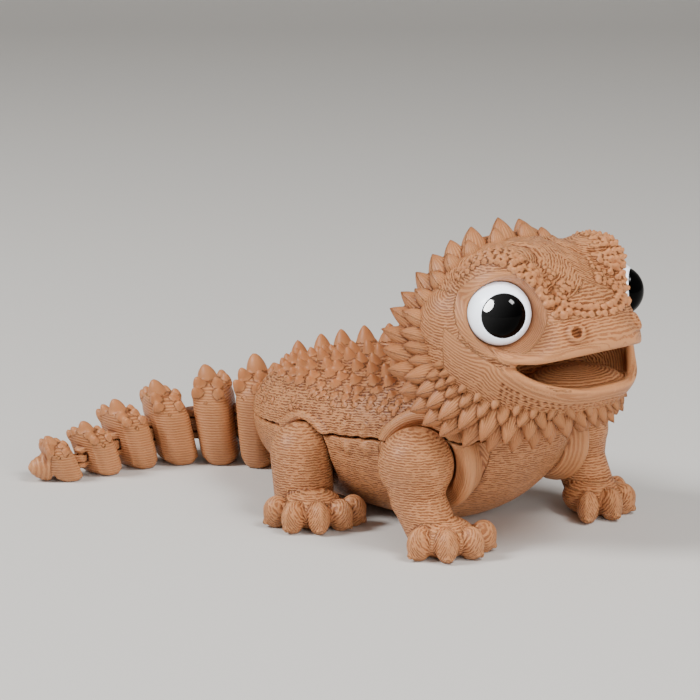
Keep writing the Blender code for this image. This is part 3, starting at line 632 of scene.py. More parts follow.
def front_limb(grow):
    """The right front leg without its foot: a round shoulder, an upper arm and a forearm."""
    return [egg(SHOULDER, [SHOULDER_RADIUS + grow] * 3, detail=36),
            capsule(SHOULDER + (0.8, -0.6, -3.0), ELBOW, 8.1 + grow, 6.8 + grow),
            capsule(ELBOW, WRIST, 6.6 + grow, 6.2 + grow)]


def leg_rooms():
    """What the four legs sweep as they swing."""
    rooms = []
    for ball, limb, (back, ahead) in ((REAR_BALL, rear_limb, REAR_SWING), (FRONT_BALL, front_limb, FRONT_SWING)):
        for angle in np.linspace(back - 1, ahead + 1, 7):
            rooms += [swing(form, ball, angle) for form in limb(LEG_CLEARANCE)]
    return gather(both([melt(rooms, 0.6, relax=1)]))


def head_rooms():
    """What the skull sweeps as it turns on its neck."""
    angles = (-HEAD_TURN - 2, -5.0, 0.0, 5.0, HEAD_TURN + 2)
    return melt([swing(skull_form(HEAD_CLEARANCE), NECK_BALL, angle, "Z") for angle in angles], 0.6, relax=1)


print("a leg swings", REAR_SWING, "or", FRONT_SWING, "degrees, the head", HEAD_TURN, "to either side")

# %% [markdown]
# ## Places on the torso
# The cones of the back have to stand on its skin. Their feet are found from the same slices that make the torso.

# %% Places on the torso
def torso_slice(x):
    """Middle height, top, underside and half width of the torso at a place along it."""
    low, high, half = [np.interp(x, [row[0] for row in TORSO], [row[i] for row in TORSO]) for i in (1, 2, 3)]
    return low + (high - low) * WIDEST, high, low, half


def torso_spot(x, angle, side):
    """A place on the torso's surface, at an angle up from its side, and the way it faces."""
    middle, high, _, half = torso_slice(x)
    c, s = max(math.cos(angle), 0.0), math.sin(angle)
    y, z = half * c ** (2 / TORSO_POWER), middle + (high - middle) * s ** (2 / TORSO_POWER)
    facing = np.array((0.0, side * c / half, s / (high - middle)))
    return np.array((x, side * y, z)), facing / np.linalg.norm(facing)


def torso_side(x, z):
    """Half the torso's width at a place along it and a height."""
    middle, high, low, half = torso_slice(x)
    t = np.clip(np.abs(z - middle) / np.where(z > middle, high - middle, middle - low), 0, 1)
    return half * (1 - t ** TORSO_POWER) ** (1 / TORSO_POWER)


print("half width at the middle:", round(float(torso_side(0.0, 20.0)), 1))

# %% [markdown]
# ## Back shell
# Cones stand in rows on the back: the ones on the ridge are tall, and the rows shrink down the sides until they are
# only grains. Each is a bud: wide at its foot, swollen in the middle, with a blunt tip. A lathe form gives that
# shape from one profile. The tail, the toes, the brows and the frill use it too, with other curves.

# %% Buds and spikes
BUD_FALL, BUD_ROUND = 1.9, 0.72      # how late the sides of a plain bud draw in; a smaller second is blunter


def bud(root, direction, length, radius, sides, fall=BUD_FALL, round_off=BUD_ROUND, sink=0.35):
    """A plump cone, sunk into what carries it; fall and round_off shape its sides and its tip."""
    profile = [(-sink * length, radius * 0.95), (0.0, radius)]
    for t in (0.12, 0.24, 0.36, 0.48, 0.6, 0.7, 0.79, 0.87, 0.93, 0.97):
        profile.append((t * length, radius * (1 - t ** fall) ** round_off))
    profile.append((length, radius * 0.05))
    return lathe(root, direction, profile, sides)


def bud_values(place, buds, turns=0.0):
    """For each point: how far it is up the bud it belongs to (0 to 1), and a line value that meets at the tip."""
    share, lines = np.zeros(len(place)), np.zeros(len(place))
    best = np.full(len(place), 1.15)
    for root, direction, length, radius in buds:
        root, direction = np.asarray(root, float), np.asarray(direction, float)
        direction = direction / np.linalg.norm(direction)
        near = np.flatnonzero(np.abs(place - root).max(axis=1) < length + radius)
        offset = place[near] - root
        along = offset @ direction
        across = offset - np.outer(along, direction)
        away = np.linalg.norm(across, axis=1)
        t = np.clip(along / length, 0, 1)
        reach = away / (radius * np.maximum(1 - t ** BUD_FALL, 0.02) ** BUD_ROUND + 0.15)
        own = (along > -0.15 * length) & (along < length * 1.05) & (reach < best[near])
        side = np.cross(direction, (0.0, 0.0, 1.0) if abs(direction[2]) < 0.9 else (1.0, 0.0, 0.0))
        side /= np.linalg.norm(side)
        angle = np.arctan2(across @ np.cross(side, direction), across @ side)
        share[near[own]], best[near[own]] = t[own], reach[own]
        lines[near[own]] = angle[own] / (2 * math.pi) * turns
    return share, lines


half_way, _ = bud_values(np.array([(0.0, 0.0, 3.0)]), [((0.0, 0.0, 0.0), (0.0, 0.0, 1.0), 6.0, 3.0)])
print("a point half-way up a bud has the value", half_way[0])

# %% [markdown]
# The rows were counted on the photograph, one angle up from the side for each row. Grains are scattered between
# them by a seeded generator, so that every run puts them in the same places.

# %% Cones and grains of the back
GRAINS = 200


def back_buds():
    """Root, direction, length and radius of each cone and grain."""
    rng = random.Random(3)
    buds = []
    rows = [  # angle up from the side, length, radius, step along the back, first place; the ridge comes first
        (90, 5.9, 2.9, 8.7, -41.8), (78, 2.6, 1.4, 5.0, -39.0), (69, 4.3, 2.0, 5.9, -38.4),
        (59.5, 4.2, 1.95, 5.8, -35.4), (50.5, 4.0, 1.9, 5.8, -34.0), (42, 3.4, 1.75, 5.6, -29.0),
        (34.5, 2.4, 1.4, 5.0, -22.0), (28, 1.6, 1.05, 4.4, -9.0), (21.5, 1.2, 0.9, 4.0, 1.0)]
    for row, (angle, length, radius, step, start) in enumerate(rows):
        for side in ((1,) if row == 0 else (-1, 1)):
            x = start
            while x < (14.0 if row == 0 else 30.0):
                spot, facing = torso_spot(x + rng.uniform(-0.6, 0.6), math.radians(angle + rng.uniform(-2, 2)), side)
                # beside the ridge, the cones grow from the rump forwards
                size = (0.55 + 0.45 * np.clip((x + 42.0) / 20.0, 0, 1) if row else 1.0) * rng.uniform(0.85, 1.15)
                lean = facing + np.array((-0.25, 0.0, 0.35))
                buds.append((spot - facing * 0.3, lean / np.linalg.norm(lean),
                             length * size, radius * (0.3 + 0.7 * size)))
                x += step
    for _ in range(GRAINS):
        x, angle, side = rng.uniform(-40, 30), rng.uniform(12, 80), rng.choice((-1, 1))
        spot, facing = torso_spot(x, math.radians(angle), side)
        size = rng.uniform(0.5, 0.75)
        buds.append((spot - facing * 0.2, facing, 1.9 * size, size))
    return buds


buds = back_buds()
print("buds on the back:", len(buds))

# %% [markdown]
# The shell ends in a thick rim where it arches over a leg, the shoulder turns in a round housing, and lumps run
# along the seam between the legs. Rims are tubes along a path on the torso's side, the housing is a lathe form,
# and lumps are small eggs.

# %% Rims, collars and lumps
RIMS = (  # middle and radii of the arch, first and last angle, thickness, how proud it stands
    ((-8.2, 15.5), (11.6, 9.7), (30, 150), 1.35, 0.3),
    ((31.4, 20.5), (11.6, 11.6), (14, 166), 1.9, 0.6))


def shell_rims():
    """Thick rims along the shell's edge: an arch over the rear leg and a collar round the shoulder."""
    forms = []
    for (cx, cz), (a, b), (start, end), thick, proud in RIMS:
        path = []
        for angle in np.radians(np.linspace(start, end, 30)):
            x, z = cx + a * math.cos(angle), cz + b * math.sin(angle)
            path.append((x, -torso_side(x, z) - proud, z))
        forms.append(tube(path, thick, 12))
    return both(forms)


def shoulder_collar():
    """The round housing that the shoulder turns in."""
    profile = [(0, 8.5), (5.5, 11.3), (7.5, 12.2), (8.6, 12.5), (9.6, 12.1), (10.2, 11.2)]
    return both([lathe((SHOULDER[0], -11.5, SHOULDER[2]), (0, -1, 0), profile, 48)])


def collar_lines(place, lines):
    """Fine lines along the rims round the shoulders, and where they are."""
    away = np.hypot(place[:, 0] - SHOULDER[0], place[:, 2] - SHOULDER[2])
    there = (away < 13.4) & (np.abs(place[:, 1]) > 14)
    return np.where(there, away / 0.5, lines), there


def seam_lumps(below):
    """Lumps beside the seam, and a flap on the belly that hangs from it."""
    places = (7.2, 13.5) if below else (6.0, 12.8, 19.0)
    forms = []
    for x in places:
        z = seam(x) + (-1.5 if below else 1.7)
        forms += [egg((x, -torso_side(x, z) + 0.2, z), (1.8, 1.2, 1.5), detail=14),
                  egg((x + 0.9, -torso_side(x, z) + 0.1, z + (-1.2 if below else 1.4)), (1.1, 1.0, 1.1), detail=12)]
    if below:
        flap = [(19.6, 24.0), (21.2, 23.4), (21.6, 21.9), (20.9, 20.4)]
        forms.append(tube([(x, -torso_side(x, z) - 0.1, z) for x, z in smooth(flap, 12)], 0.75, 10))
    return both(forms)


print("rims on both sides:", 2 * len(RIMS))

# %% [markdown]
# Now the shell is put together. The lower half is carved away, the buds, rims and lumps are melted on, and the
# seam is cut once more, because they hang over it. Rooms for the legs and the head follow, then the neck ball.
# Lines follow the tilt of the seam, and run round the collars. A bud has no slits, only a redder tip, a painted glow
# of light through it.

# %% Back shell
REAR_ARCH, ARCH_SIZE = (-8.2, -33.0, 15.5), (10.8, 11.6, 9.0)
BUD_FOOT = 0.2            # slits end this far up a bud
NO_SLIT = 0.5             # a line value that lies between two slits
shell = carve(torso_form(), [seam_cutter(False)])
shell = melt([shell] + [bud(*row, fall=1.6, round_off=0.8, sides=12) for row in buds], 0.34, relax=0)
shell = melt([shell] + seam_lumps(False) + shell_rims() + shoulder_collar(), 0.34, relax=1)
shell = carve(shell, [seam_cutter(False)])
arch = egg(REAR_ARCH, ARCH_SIZE, detail=40)
shell = carve(shell, both([arch]) + [leg_rooms(), head_rooms()])
neck = [capsule(NECK_FOOT, NECK_BALL, 4.6, 3.8), egg(NECK_BALL, (6.4, 6.4, 6.4), detail=32)]
shell = melt([shell] + neck, 0.34, relax=1)
place, _ = points_of(shell)
up_bud, _ = bud_values(place, buds)
lines = (place[:, 2] - SEAM_SLOPE * 1.3 * place[:, 0]) / LINE_PITCH
lines = np.where(up_bud > BUD_FOOT, NO_SLIT, lines)
lines, on_collar = collar_lines(place, lines)
dress(shell, "back_shell_skin", "torso", "back_shell", layer=lines,
      broken=np.where(on_collar, 0.05, np.clip(1.0 - 3.0 * up_bud, 0.05, 1.0)), tip=np.clip(up_bud * 1.6, 0, 1))

# %% [markdown]
# ## Links of the tail
# The pieces of the tail hang on each other by a pin in a ring. The piece in front carries a fork of two lugs with
# the pin between them, and the piece behind carries the ring. The links shrink with the tail. Both parts of a link
# are built here, since the belly carries the first fork.

# %% Links of the tail
LINK_HEIGHT = 0.45        # share of a drum's height at which its link sits
LINK_PLAY = 0.45          # millimetres between pin and ring, and between ring and lugs


def link_scale(height):
    """How large a link is, for the height of the piece in front of it."""
    return max(0.62, min(1.0, height / 20.0))


def link_eye(joint, height, heading):
    """A ring around the pin in front, and the tongue that carries it."""
    s = link_scale(height)
    centre = np.array((joint[0], joint[1], height * LINK_HEIGHT))
    back = np.array((-math.cos(heading), -math.sin(heading), 0.0))
    half, outer, inner = 1.7 * s, 2.7 * s, 1.2 * s + LINK_PLAY
    ring = [(-half, outer), (half, outer)]
    eye = lathe(centre, (0, 0, 1), ring, 32)
    tongue = tube([centre + back * 1.6 * s, centre + back * 6.6], 1.55 * s)
    return [eye, tongue], lathe(centre - (0, 0, 4), (0, 0, 1), [(0, inner), (8, inner)], 24)


def link_fork(joint, height, heading):
    """Two lugs and the pin between them."""
    s = link_scale(height)
    centre = np.array((joint[0], joint[1], height * LINK_HEIGHT))
    ahead = np.array((math.cos(heading), math.sin(heading), 0.0))
    lug, half = 1.9 * s, 1.7 * s + LINK_PLAY
    forms = [lathe(centre - (0, 0, half + lug / 2), (0, 0, 1), [(0, 1.15 * s), (2 * half + lug, 1.15 * s)], 20)]
    for side in (1, -1):
        middle = centre + (0, 0, side * (half + lug / 2))
        profile = [(0, 2.5 * s), (0.3, 2.7 * s), (lug - 0.3, 2.7 * s), (lug, 2.5 * s)]
        forms.append(lathe(middle - (0, 0, lug / 2), (0, 0, 1), profile, 28))
        forms.append(tube([middle + ahead * 1.5 * s, middle + ahead * 6.6], lug / 2 * 1.02))
    return forms


def link_room(joint, height):
    """The space that the other half of a link needs, as a cutter."""
    s = link_scale(height)
    half, radius = (1.7 + 1.9) * s + 0.9, 2.7 * s + 0.45
    return lathe((joint[0], joint[1], height * LINK_HEIGHT - half), (0, 0, 1), [(0, radius), (2 * half, radius)], 28)


print("scale of the links:", [round(link_scale(height), 2) for height in (24.5, 22.0, 18.5, 15.5, 12.0)])

# %% [markdown]
# ## Faces that clear each other
# When a link bends as far as it goes, the edges of two neighbours come close. Two planes through the joint, each
# at half the largest bend, part them: what stays behind its own planes never meets the other. Only the few points
# of a skin that reach past a plane are pulled back to it.

# %% Faces that clear each other
HALF_BEND = math.radians(15.5)     # each link bends 31 degrees to both sides of straight
FACE_PLAY, LONGEST_PULL = 0.2, 3.0
LEAN_CENTRE = 0.45        # the share of its height at which a drum leans neither forward nor back


def keep_clear(obj, joint, inward, leans):
    """Pulls a face back behind the two planes through a joint that halve its bend to either side.

    The planes lean as much as the two drums that meet there do on average; each is given by height and slope.
    """
    place, _ = points_of(obj)
    shift = sum((place[:, 2] - LEAN_CENTRE * height) * slope for height, slope in leans) / 2
    for turn in (HALF_BEND, -HALF_BEND):
        c, s = math.cos(turn), math.sin(turn)
        normal = np.array((c * inward[0] - s * inward[1], s * inward[0] + c * inward[1], 0.0))
        place += np.outer(np.clip(FACE_PLAY + shift - (place - joint) @ normal, 0.0, LONGEST_PULL), normal)
    move_points(obj, place)


print("a face keeps", FACE_PLAY, "mm from its plane")

# %% [markdown]
# ## Belly
# The belly is smooth, with a flat to rest on, and it is cut from the same torso as the shell. The fork of the first
# link stands at its rear end. Its lines are level and more broken than those of the shell.

# %% Belly
FIRST_HEIGHT = 24.5
belly = melt([torso_form()] + seam_lumps(True) + shoulder_collar(), 0.45, relax=2)
keep_clear(belly, TAIL_JOINT, (1.0, 0.0), [])
below_floor = ((-90, -60, -20), (90, 60, 0))
belly = carve(belly, [seam_cutter(True), leg_rooms(), head_rooms(), block(*below_floor),
                      link_room(TAIL_JOINT, FIRST_HEIGHT)])
belly = melt([belly] + link_fork(TAIL_JOINT, FIRST_HEIGHT, 0.0), 0.40, relax=2)
place, _ = points_of(belly)
lines, on_collar = collar_lines(place, place[:, 2] / LINE_PITCH)
dress(belly, "belly_skin", "torso", "belly", layer=lines, broken=np.where(on_collar, 0.05, 0.85))

# %% [markdown]
# ## Feet and toes
# Each leg is a column on a domed foot, with egg-shaped toes around it. Each toe has a low crest that ends in a
# small claw, and its lines branch off the crest as veins do in a leaf. The places of the toes were read from the
# photograph one by one, because an even fan of toes looked stiffer than the real one.

# %% Feet and toes
FOOT, TOE, TOE_HEIGHT = (8.2, 8.2, 5.0), (3.4, 2.8, 4.2), 3.8     # radii of the dome and a toe, height of its middle
REAR_FOOT = np.array((0.8, -33.8, 0.0))
REAR_TOES = [(-4.1, -41.5), (2.6, -41.9), (7.5, -37.7), (8.8, -31.7), (7.9, -26.7)]
FRONT_FOOT = np.array((40.2, -26.8, 0.0))
FRONT_TOES = [(40.2, -34.7), (45.9, -31.1), (47.8, -24.8), (45.6, -18.6)]


def toe_axes(foot, spot):
    """The middle of a toe, and the way it points."""
    centre = np.array((spot[0], spot[1], TOE_HEIGHT))
    ahead = (centre - foot) * (1, 1, 0)
    return centre, ahead / np.linalg.norm(ahead)


def make_toe(foot, spot):
    """An egg, a bridge to the foot, a crest, and a claw between two smaller points."""
    centre, ahead = toe_axes(foot, spot)
    crest = [centre + ahead * (TOE[0] - 0.1) * math.cos(a) + np.array((0, 0, (TOE[2] - 0.1) * math.sin(a)))
             for a in np.linspace(1.9, 0.2, 12)]
    claw = centre + ahead * (TOE[0] - 0.7) - (0, 0, 2.2)
    down = ahead * 0.5 - (0, 0, 0.85)
    across = np.array((-ahead[1], ahead[0], 0.0))
    inner_end = foot + (centre - foot) * (0.4, 0.4, 0) + (0, 0, 3.4)
    bridge = capsule(centre - (0, 0, 0.6), inner_end, 1.8, 2.6, 20)
    forms = [egg(centre, TOE, math.atan2(ahead[1], ahead[0]), 28), bridge,
             tube(crest, np.linspace(0.15, 0.35, len(crest)), 8), bud(claw, down, 1.2, 0.85, sides=10)]
    for side in (1, -1):
        forms.append(bud(claw + across * side * 0.85 - ahead * 0.1, down + across * side * 0.4, 1.0, 0.5, sides=8))
    return forms


print("toes behind and in front:", len(REAR_TOES), len(FRONT_TOES))

# %% [markdown]
# The lines of a leg are level, as on the torso. On top of the foot they close into rings, and on a toe they slope
# down from its crest.

# %% Lines of the feet
def foot_lines(place, foot, toes):
    """Rings on the dome of the foot, veins on the toes, level lines on the leg."""
    lines, broken = place[:, 2] / LINE_PITCH, np.full(len(place), 0.75)
    away = np.linalg.norm(place[:, :2] - foot[:2], axis=1)
    dome = (away < 6.8) & (place[:, 2] > 4.5) & (place[:, 2] < 8.8)
    lines = np.where(dome, away / 0.75, lines)
    for spot in toes:
        centre, ahead = toe_axes(foot, spot)
        offset = place - centre
        along, across = offset @ ahead, np.abs(offset @ np.array((-ahead[1], ahead[0], 0.0)))
        size = (along / TOE[0]) ** 2 + (across / TOE[1]) ** 2 + (offset[:, 2] / TOE[2]) ** 2
        own = (size < 1.35) & (along > -2.2)
        veins = (across * 1.5 + offset[:, 2] * 0.8 - along * 0.35) / 0.86
        lines, broken = np.where(own, veins, lines), np.where(own, 0.80, broken)
        broken = np.where(own & (across < 0.45), 0.0, broken)
    return lines, broken


_, raggedness = foot_lines(np.array([(0.8, -33.8, 15.0)]), REAR_FOOT, REAR_TOES)
print("how ragged the lines of a leg are:", raggedness[0])

# %% [markdown]
# ## Legs
# A ball on a stub holds each leg in the torso. Both right legs are built, and the left ones are their mirror images.

# %% Legs
LEG_BALL, LEG_STUB = 4.5, 2.9


def make_leg(limb, hip, ball, foot, toes):
    """One right leg, from the ball to the claws, with its sole cut flat."""
    forms = limb(0.0) + [egg(ball, [LEG_BALL] * 3), tube([tuple(ball), tuple(hip)], LEG_STUB, 24),
                         egg(foot + (0, 0, 4.3), FOOT, detail=36)]
    for spot in toes:
        forms += make_toe(foot, spot)
    leg = melt(forms, 0.32, relax=1)
    return melt([carve(leg, [block(*below_floor)])], 0.30, relax=1)


for name, limb, hip, ball, foot, toes in (
        ("rear_leg", rear_limb, REAR_HIP, REAR_BALL, REAR_FOOT, REAR_TOES),
        ("front_leg", front_limb, SHOULDER, FRONT_BALL, FRONT_FOOT, FRONT_TOES)):
    leg = make_leg(limb, hip, ball, foot, toes)
    lines, broken = foot_lines(points_of(leg)[0], foot, toes)
    dress(mirror(leg), name + "_left_skin", name + "_left", name + "_left", layer=lines, broken=broken)
    dress(leg, name + "_right_skin", name + "_right", name + "_right", layer=lines, broken=broken)

# %% [markdown]
# ## Tail
# Six drums follow each other round the curve of the tail. Each is a thick upright slab, rounded at its sides, that
# leans away from the body a little more than the one before. A small class holds the place, the direction and the
# sizes of a drum, so that each function below can ask it for what it needs.

# %% Tail sizes
TAIL = [  # heading in degrees from straight back, length to the next joint, half width, height, lean
    (27.0, 12.6, 10.5, 24.5, 4.0), (43.0, 13.2, 9.8, 22.0, 8.0), (67.0, 13.2, 8.8, 18.5, 13.0),
    (88.0, 11.6, 7.6, 15.5, 17.0), (93.0, 10.9, 6.3, 12.0, 20.0), (68.0, 12.5, 5.2, 9.5, 22.0),
]
TAIL_GAP = 2.4
LAST_HALF = 3.9           # half the thickness of the last drum, which has no joint behind it


class Drum:
    """Where a drum of the tail stands, and how large it is."""

    def __init__(self, index, joint):
        heading, length, self.half_width, self.height, lean = TAIL[index]
        self.angle, self.slope = math.radians(heading), math.tan(math.radians(lean))
        self.last = index == len(TAIL) - 1
        self.axis = np.array((-math.cos(self.angle), -math.sin(self.angle), 0.0))
        self.across = np.array((self.axis[1], -self.axis[0], 0.0))
        self.joint, self.end = joint, joint + self.axis * length
        self.half = LAST_HALF if self.last else (length - TAIL_GAP) / 2
        self.centre = joint + self.axis * (TAIL_GAP / 2 + self.half)

    def shift(self, share):
        """How far back the lean carries a place at a share of the height."""
        return (share - LEAN_CENTRE) * self.height * self.slope


def height_and_slope(index, way=1):
    """Of a drum, or of the rear end of the torso, which comes before the first and doesn't lean."""
    if index < 0:
        return FIRST_HEIGHT, 0.0
    return TAIL[index][3], way * math.tan(math.radians(TAIL[index][4]))


print("the tail is", round(sum(row[1] for row in TAIL), 1), "mm long when straight")

# %% [markdown]
# A drum is a loft through level outlines that are nearly square in front and behind and rounder at the sides.
# Its width swells to the middle and draws in quickly under the top. The printer leaves a thin raised line at each
# of its four upright edges.

# %% The body of a drum
DRUM_SQUARE, SIDE_SQUARE = 0.62, 0.80     # powers of the outline: 1 would be an oval, and 0 a box
DRUM_WIDTHS = [  # share of the height, share of the width
    (0.0, 0.78), (0.03, 0.85), (0.10, 0.92), (0.28, 0.985), (0.48, 1.0), (0.66, 0.99), (0.78, 0.95),
    (0.88, 0.84), (0.95, 0.66), (1.0, 0.42)]
EDGE_WIDTHS = [(0.0, 0.78), (0.1, 0.92), (0.28, 0.985), (0.48, 1.0), (0.66, 0.99), (0.78, 0.95)]
DRUM_DEPTHS = [(0.0, 0.60), (0.04, 0.80), (0.14, 1.0), (0.80, 1.0), (1.0, 0.80)]


def drum_body(d):
    """The plain slab of a drum."""
    a = np.arange(56) * 2 * math.pi / 56
    c, s = np.cos(a), np.sin(a)
    rings = []
    for share, width in smooth(DRUM_WIDTHS, 32):
        squeeze = np.interp(share, *zip(*DRUM_DEPTHS))
        along = d.half * np.sign(c) * np.abs(c) ** DRUM_SQUARE * squeeze + d.shift(share)
        side = d.half_width * np.sign(s) * np.abs(s) ** SIDE_SQUARE * width
        rings.append(d.centre + np.outer(along, d.axis) + np.outer(side, d.across) + (0, 0, d.height * share))
    return loft(rings)


def drum_edges(d):
    """Thin raised lines down the four upright edges of a drum."""
    edges = []
    for end in (1, -1):
        for side in (1, -1):
            path = []
            for share in np.linspace(0.08, 0.76, 10):
                width = np.interp(share, *zip(*EDGE_WIDTHS))
                path.append(d.centre + d.axis * (end * d.half * 0.84 + d.shift(share))
                            + d.across * side * d.half_width * width * 0.70 + (0, 0, d.height * share))
            edges.append(tube(path, 0.45, 8))
    return edges


print("outlines in a drum:", len(smooth(DRUM_WIDTHS, 32)))

# %% [markdown]
# A cone stands in the middle of the top of each drum, and knobs stand in pairs at its sides. The last drum ends in
# a ribbed cone, a lathe form whose profile rises and falls five times.

# %% Cones and knobs of the tail
KNOBS = [  # place across and along as shares of the drum, length, radius
    (0.0, 0.10, 6.0, 3.0), (0.0, -0.80, 3.2, 1.6), (0.45, 0.45, 4.2, 1.9), (0.45, -0.50, 4.0, 1.8),
    (0.76, 0.55, 3.8, 1.75), (0.76, -0.55, 3.6, 1.65), (0.90, 0.15, 1.0, 0.9)]


def drum_buds(index, d):
    """Root, direction, length and radius of each cone and knob."""
    rng = random.Random(20 + index)
    size = 0.5 + 0.5 * d.height / 24.0
    buds = []
    for offset, shift, tall, wide in KNOBS:
        for sign in ((1,) if offset == 0 else (1, -1)):
            rise = 0.66 + 0.34 * math.sqrt(max(0.0, 1 - (offset * 0.98) ** 2.4))
            root = d.centre + d.across * sign * offset * d.half_width * 0.93 + d.axis * shift * d.half
            root = root + d.axis * (rise - LEAN_CENTRE) * d.height * d.slope + np.array((0, 0, d.height * rise - 0.9))
            lean = np.array((0, 0, 1.0)) + d.across * sign * offset * 0.9 + d.axis * (d.slope + 0.12)
            buds.append((root, lean / np.linalg.norm(lean), tall * size * rng.uniform(0.92, 1.08), wide * size))
    return buds


def tail_tip(root, axis):
    """The ribbed cone at the very end."""
    profile = []
    for t in np.linspace(0, 1, 60):
        profile.append((6.0 * t, 3.5 * (1 - t ** 1.9) ** 0.65 * (1 + 0.13 * math.cos(10 * math.pi * t)) + 0.1))
    return lathe(root, axis + (0, 0, 0.05), profile, 36)


print("knobs on a drum:", len(drum_buds(0, Drum(0, TAIL_JOINT))))

# %% [markdown]
# Each drum is melted, its faces are pulled clear of its neighbours, and the rooms for the links are carved out of
# it. Then it gets a ring in front and a fork behind. The hole of the ring is carved last, so that it stays round.

# %% Drums
def make_drum(index, joint):
    """One drum with its half links; it gives back the joint behind it."""
    d = Drum(index, joint)
    buds = drum_buds(index, d)
    forms = [drum_body(d)] + [bud(*row, fall=2.2, round_off=0.7, sides=14) for row in buds]
    if d.last:
        forms.append(tail_tip(d.centre + d.axis * (d.half - 0.6) + (0, 0, 3.6), d.axis))
    drum = melt(forms + drum_edges(d), 0.32, relax=2)
    keep_clear(drum, joint, d.axis, [height_and_slope(index - 1), height_and_slope(index)])
    front_height = height_and_slope(index - 1)[0]
    rooms, fork = [link_room(joint, front_height)], []
    if not d.last:
        keep_clear(drum, d.end, -d.axis, [height_and_slope(index, -1), height_and_slope(index + 1, -1)])
        rooms.append(link_room(d.end, d.height))
        fork = link_fork(d.end, d.height, d.angle)
    drum = carve(drum, rooms)
    ring, hole = link_eye(joint, front_height, d.angle)
    drum = melt([carve(melt([drum] + ring + fork, 0.34, relax=1), [hole])], 0.34, relax=1)
    place, _ = points_of(drum)
    up_bud, _ = bud_values(place, buds)
    lines = np.where(up_bud > BUD_FOOT, NO_SLIT, place[:, 2] / (LINE_PITCH * 1.15))
    if d.last:
        past = (place - d.centre) @ d.axis - (d.half - 0.6)
        lines = np.where(past > 0.6, past / 1.2 + 0.5, lines)
    name = f"tail_{index + 1}"
    dress(drum, name + "_skin", name, name, layer=lines,
          broken=np.clip(0.15 - up_bud, 0.0, 1), tip=np.clip(0.8 * up_bud, 0, 1))
    return d.end


joint = TAIL_JOINT
for index in range(len(TAIL)):
    joint = make_drum(index, joint)

# %% [markdown]
# ## Head
# The skull is a broad egg that narrows to a blunt snout. Two domes carry the eyes, with a ridge of beads over each,
# and the cheeks bulge behind them. All paths are given for the right side and carried on to the left, so that
# both sides match.

# %% Head sizes
BROW, BROW_SIZE = np.array((47.0, -15.0, 61.5)), (12.8, 10.3, 12.7)
CHEEK, CHEEK_SIZE = np.array((37.0, -22.0, 55.5)), (8.5, 6.6, 9.0)
EYE, EYE_RADIUS, EYE_TURN, EYE_LIFT = np.array((50.9, -19.3, 59.9)), 7.6, 34.3, 5.5
NOSTRIL = np.array((68.0, -10.7, 56.8))
BOWL, BOWL_SIZE = (55.0, 0.0, 46.2), (14.5, 19.0, 7.4)
LIP_CORNER, CORNER_SIZE = (54.6, -20.8, 49.2), (3.4, 2.2, 1.6)
RIDGE = [  # crest of the right brow, from its back end to the snout
    (38.5, -23.0, 68.0), (41.5, -22.0, 69.8), (45.5, -20.6, 72.7), (50.2, -19.0, 73.6), (54.3, -17.6, 72.2),
    (57.0, -16.2, 69.6), (58.8, -14.9, 67.2), (60.2, -13.7, 65.2), (62.3, -12.3, 62.6), (64.0, -9.8, 61.2)]
BRIDGE = [(63.4, -10.5, 61.9), (65.2, -6.5, 60.7), (66.4, -3.0, 60.0), (67.0, 0.0, 60.2)]
UPPER_EDGE = [  # middle of the upper lip, from the right corner to the middle of the snout
    (51.8, -22.4, 51.2), (55.0, -21.8, 50.4), (57.4, -19.8, 49.7), (59.9, -17.9, 49.7), (62.7, -15.7, 50.2),
    (66.6, -11.8, 51.5), (69.4, -8.2, 52.4), (71.2, -4.2, 53.2), (71.8, 0.0, 53.4)]
LOWER_EDGE = [  # the same for the lower lip
    (52.2, -21.8, 49.6), (55.6, -20.9, 47.1), (60.2, -16.9, 43.7), (64.9, -11.6, 41.8), (67.6, -7.4, 41.5),
    (69.0, -3.2, 41.8), (69.4, 0.0, 41.9)]
# the wedge of the open mouth, seen from the side
UPPER_LIP = [(51.5, 50.0), (56.0, 49.8), (60.0, 49.0), (64.0, 49.6), (69.0, 51.2), (73.5, 52.6), (78.0, 53.6)]
LOWER_LIP = [(53.0, 49.2), (56.5, 47.2), (60.0, 45.2), (64.0, 43.6), (68.0, 42.6), (72.0, 42.2), (78.0, 42.2)]
TONGUE, TONGUE_SIZE = np.array((57.5, 0.0, 41.0)), (10.3, 13.5, 4.5)


def eye_axis():
    """The way the right eye looks."""
    turn, lift = math.radians(EYE_TURN), math.radians(EYE_LIFT)
    return np.array((math.cos(turn) * math.cos(lift), -math.sin(turn) * math.cos(lift), math.sin(lift)))


def across_face(points, count=121):
    """A path on the right carried on to the left."""
    left = [(x, -y, z) for x, y, z in points[:-1][::-1]]
    return smooth(list(points) + left, count)


def mouth_wedge():
    """What is cut away to open the mouth."""
    outline = smooth(UPPER_LIP, 40).tolist() + smooth(LOWER_LIP, 40).tolist()[::-1]
    return loft([[(x, y, z) for x, z in outline] for y in (-40.0, 40.0)])


print("the right eye looks along", eye_axis().round(2))

# %% [markdown]
# The open mouth is a wedge cut from the side, with a rounded lip along its top and bottom edges, a bowl behind it
# and a broad tongue. A wide shallow cone is cut around each eye, so that its lid slopes in to the ball. Each time
# something is cut, another melt with more relaxing rounds the new edges.

# %% Skull
SOCKET_CONE = [(-0.5, 7.8), (1.5, 7.95), (3.0, 8.6), (4.9, 10.1), (7.0, 12.4), (12.0, 18.0)]
RIDGE_SINK = 2.4          # how far the bar of the brow lies below its crest


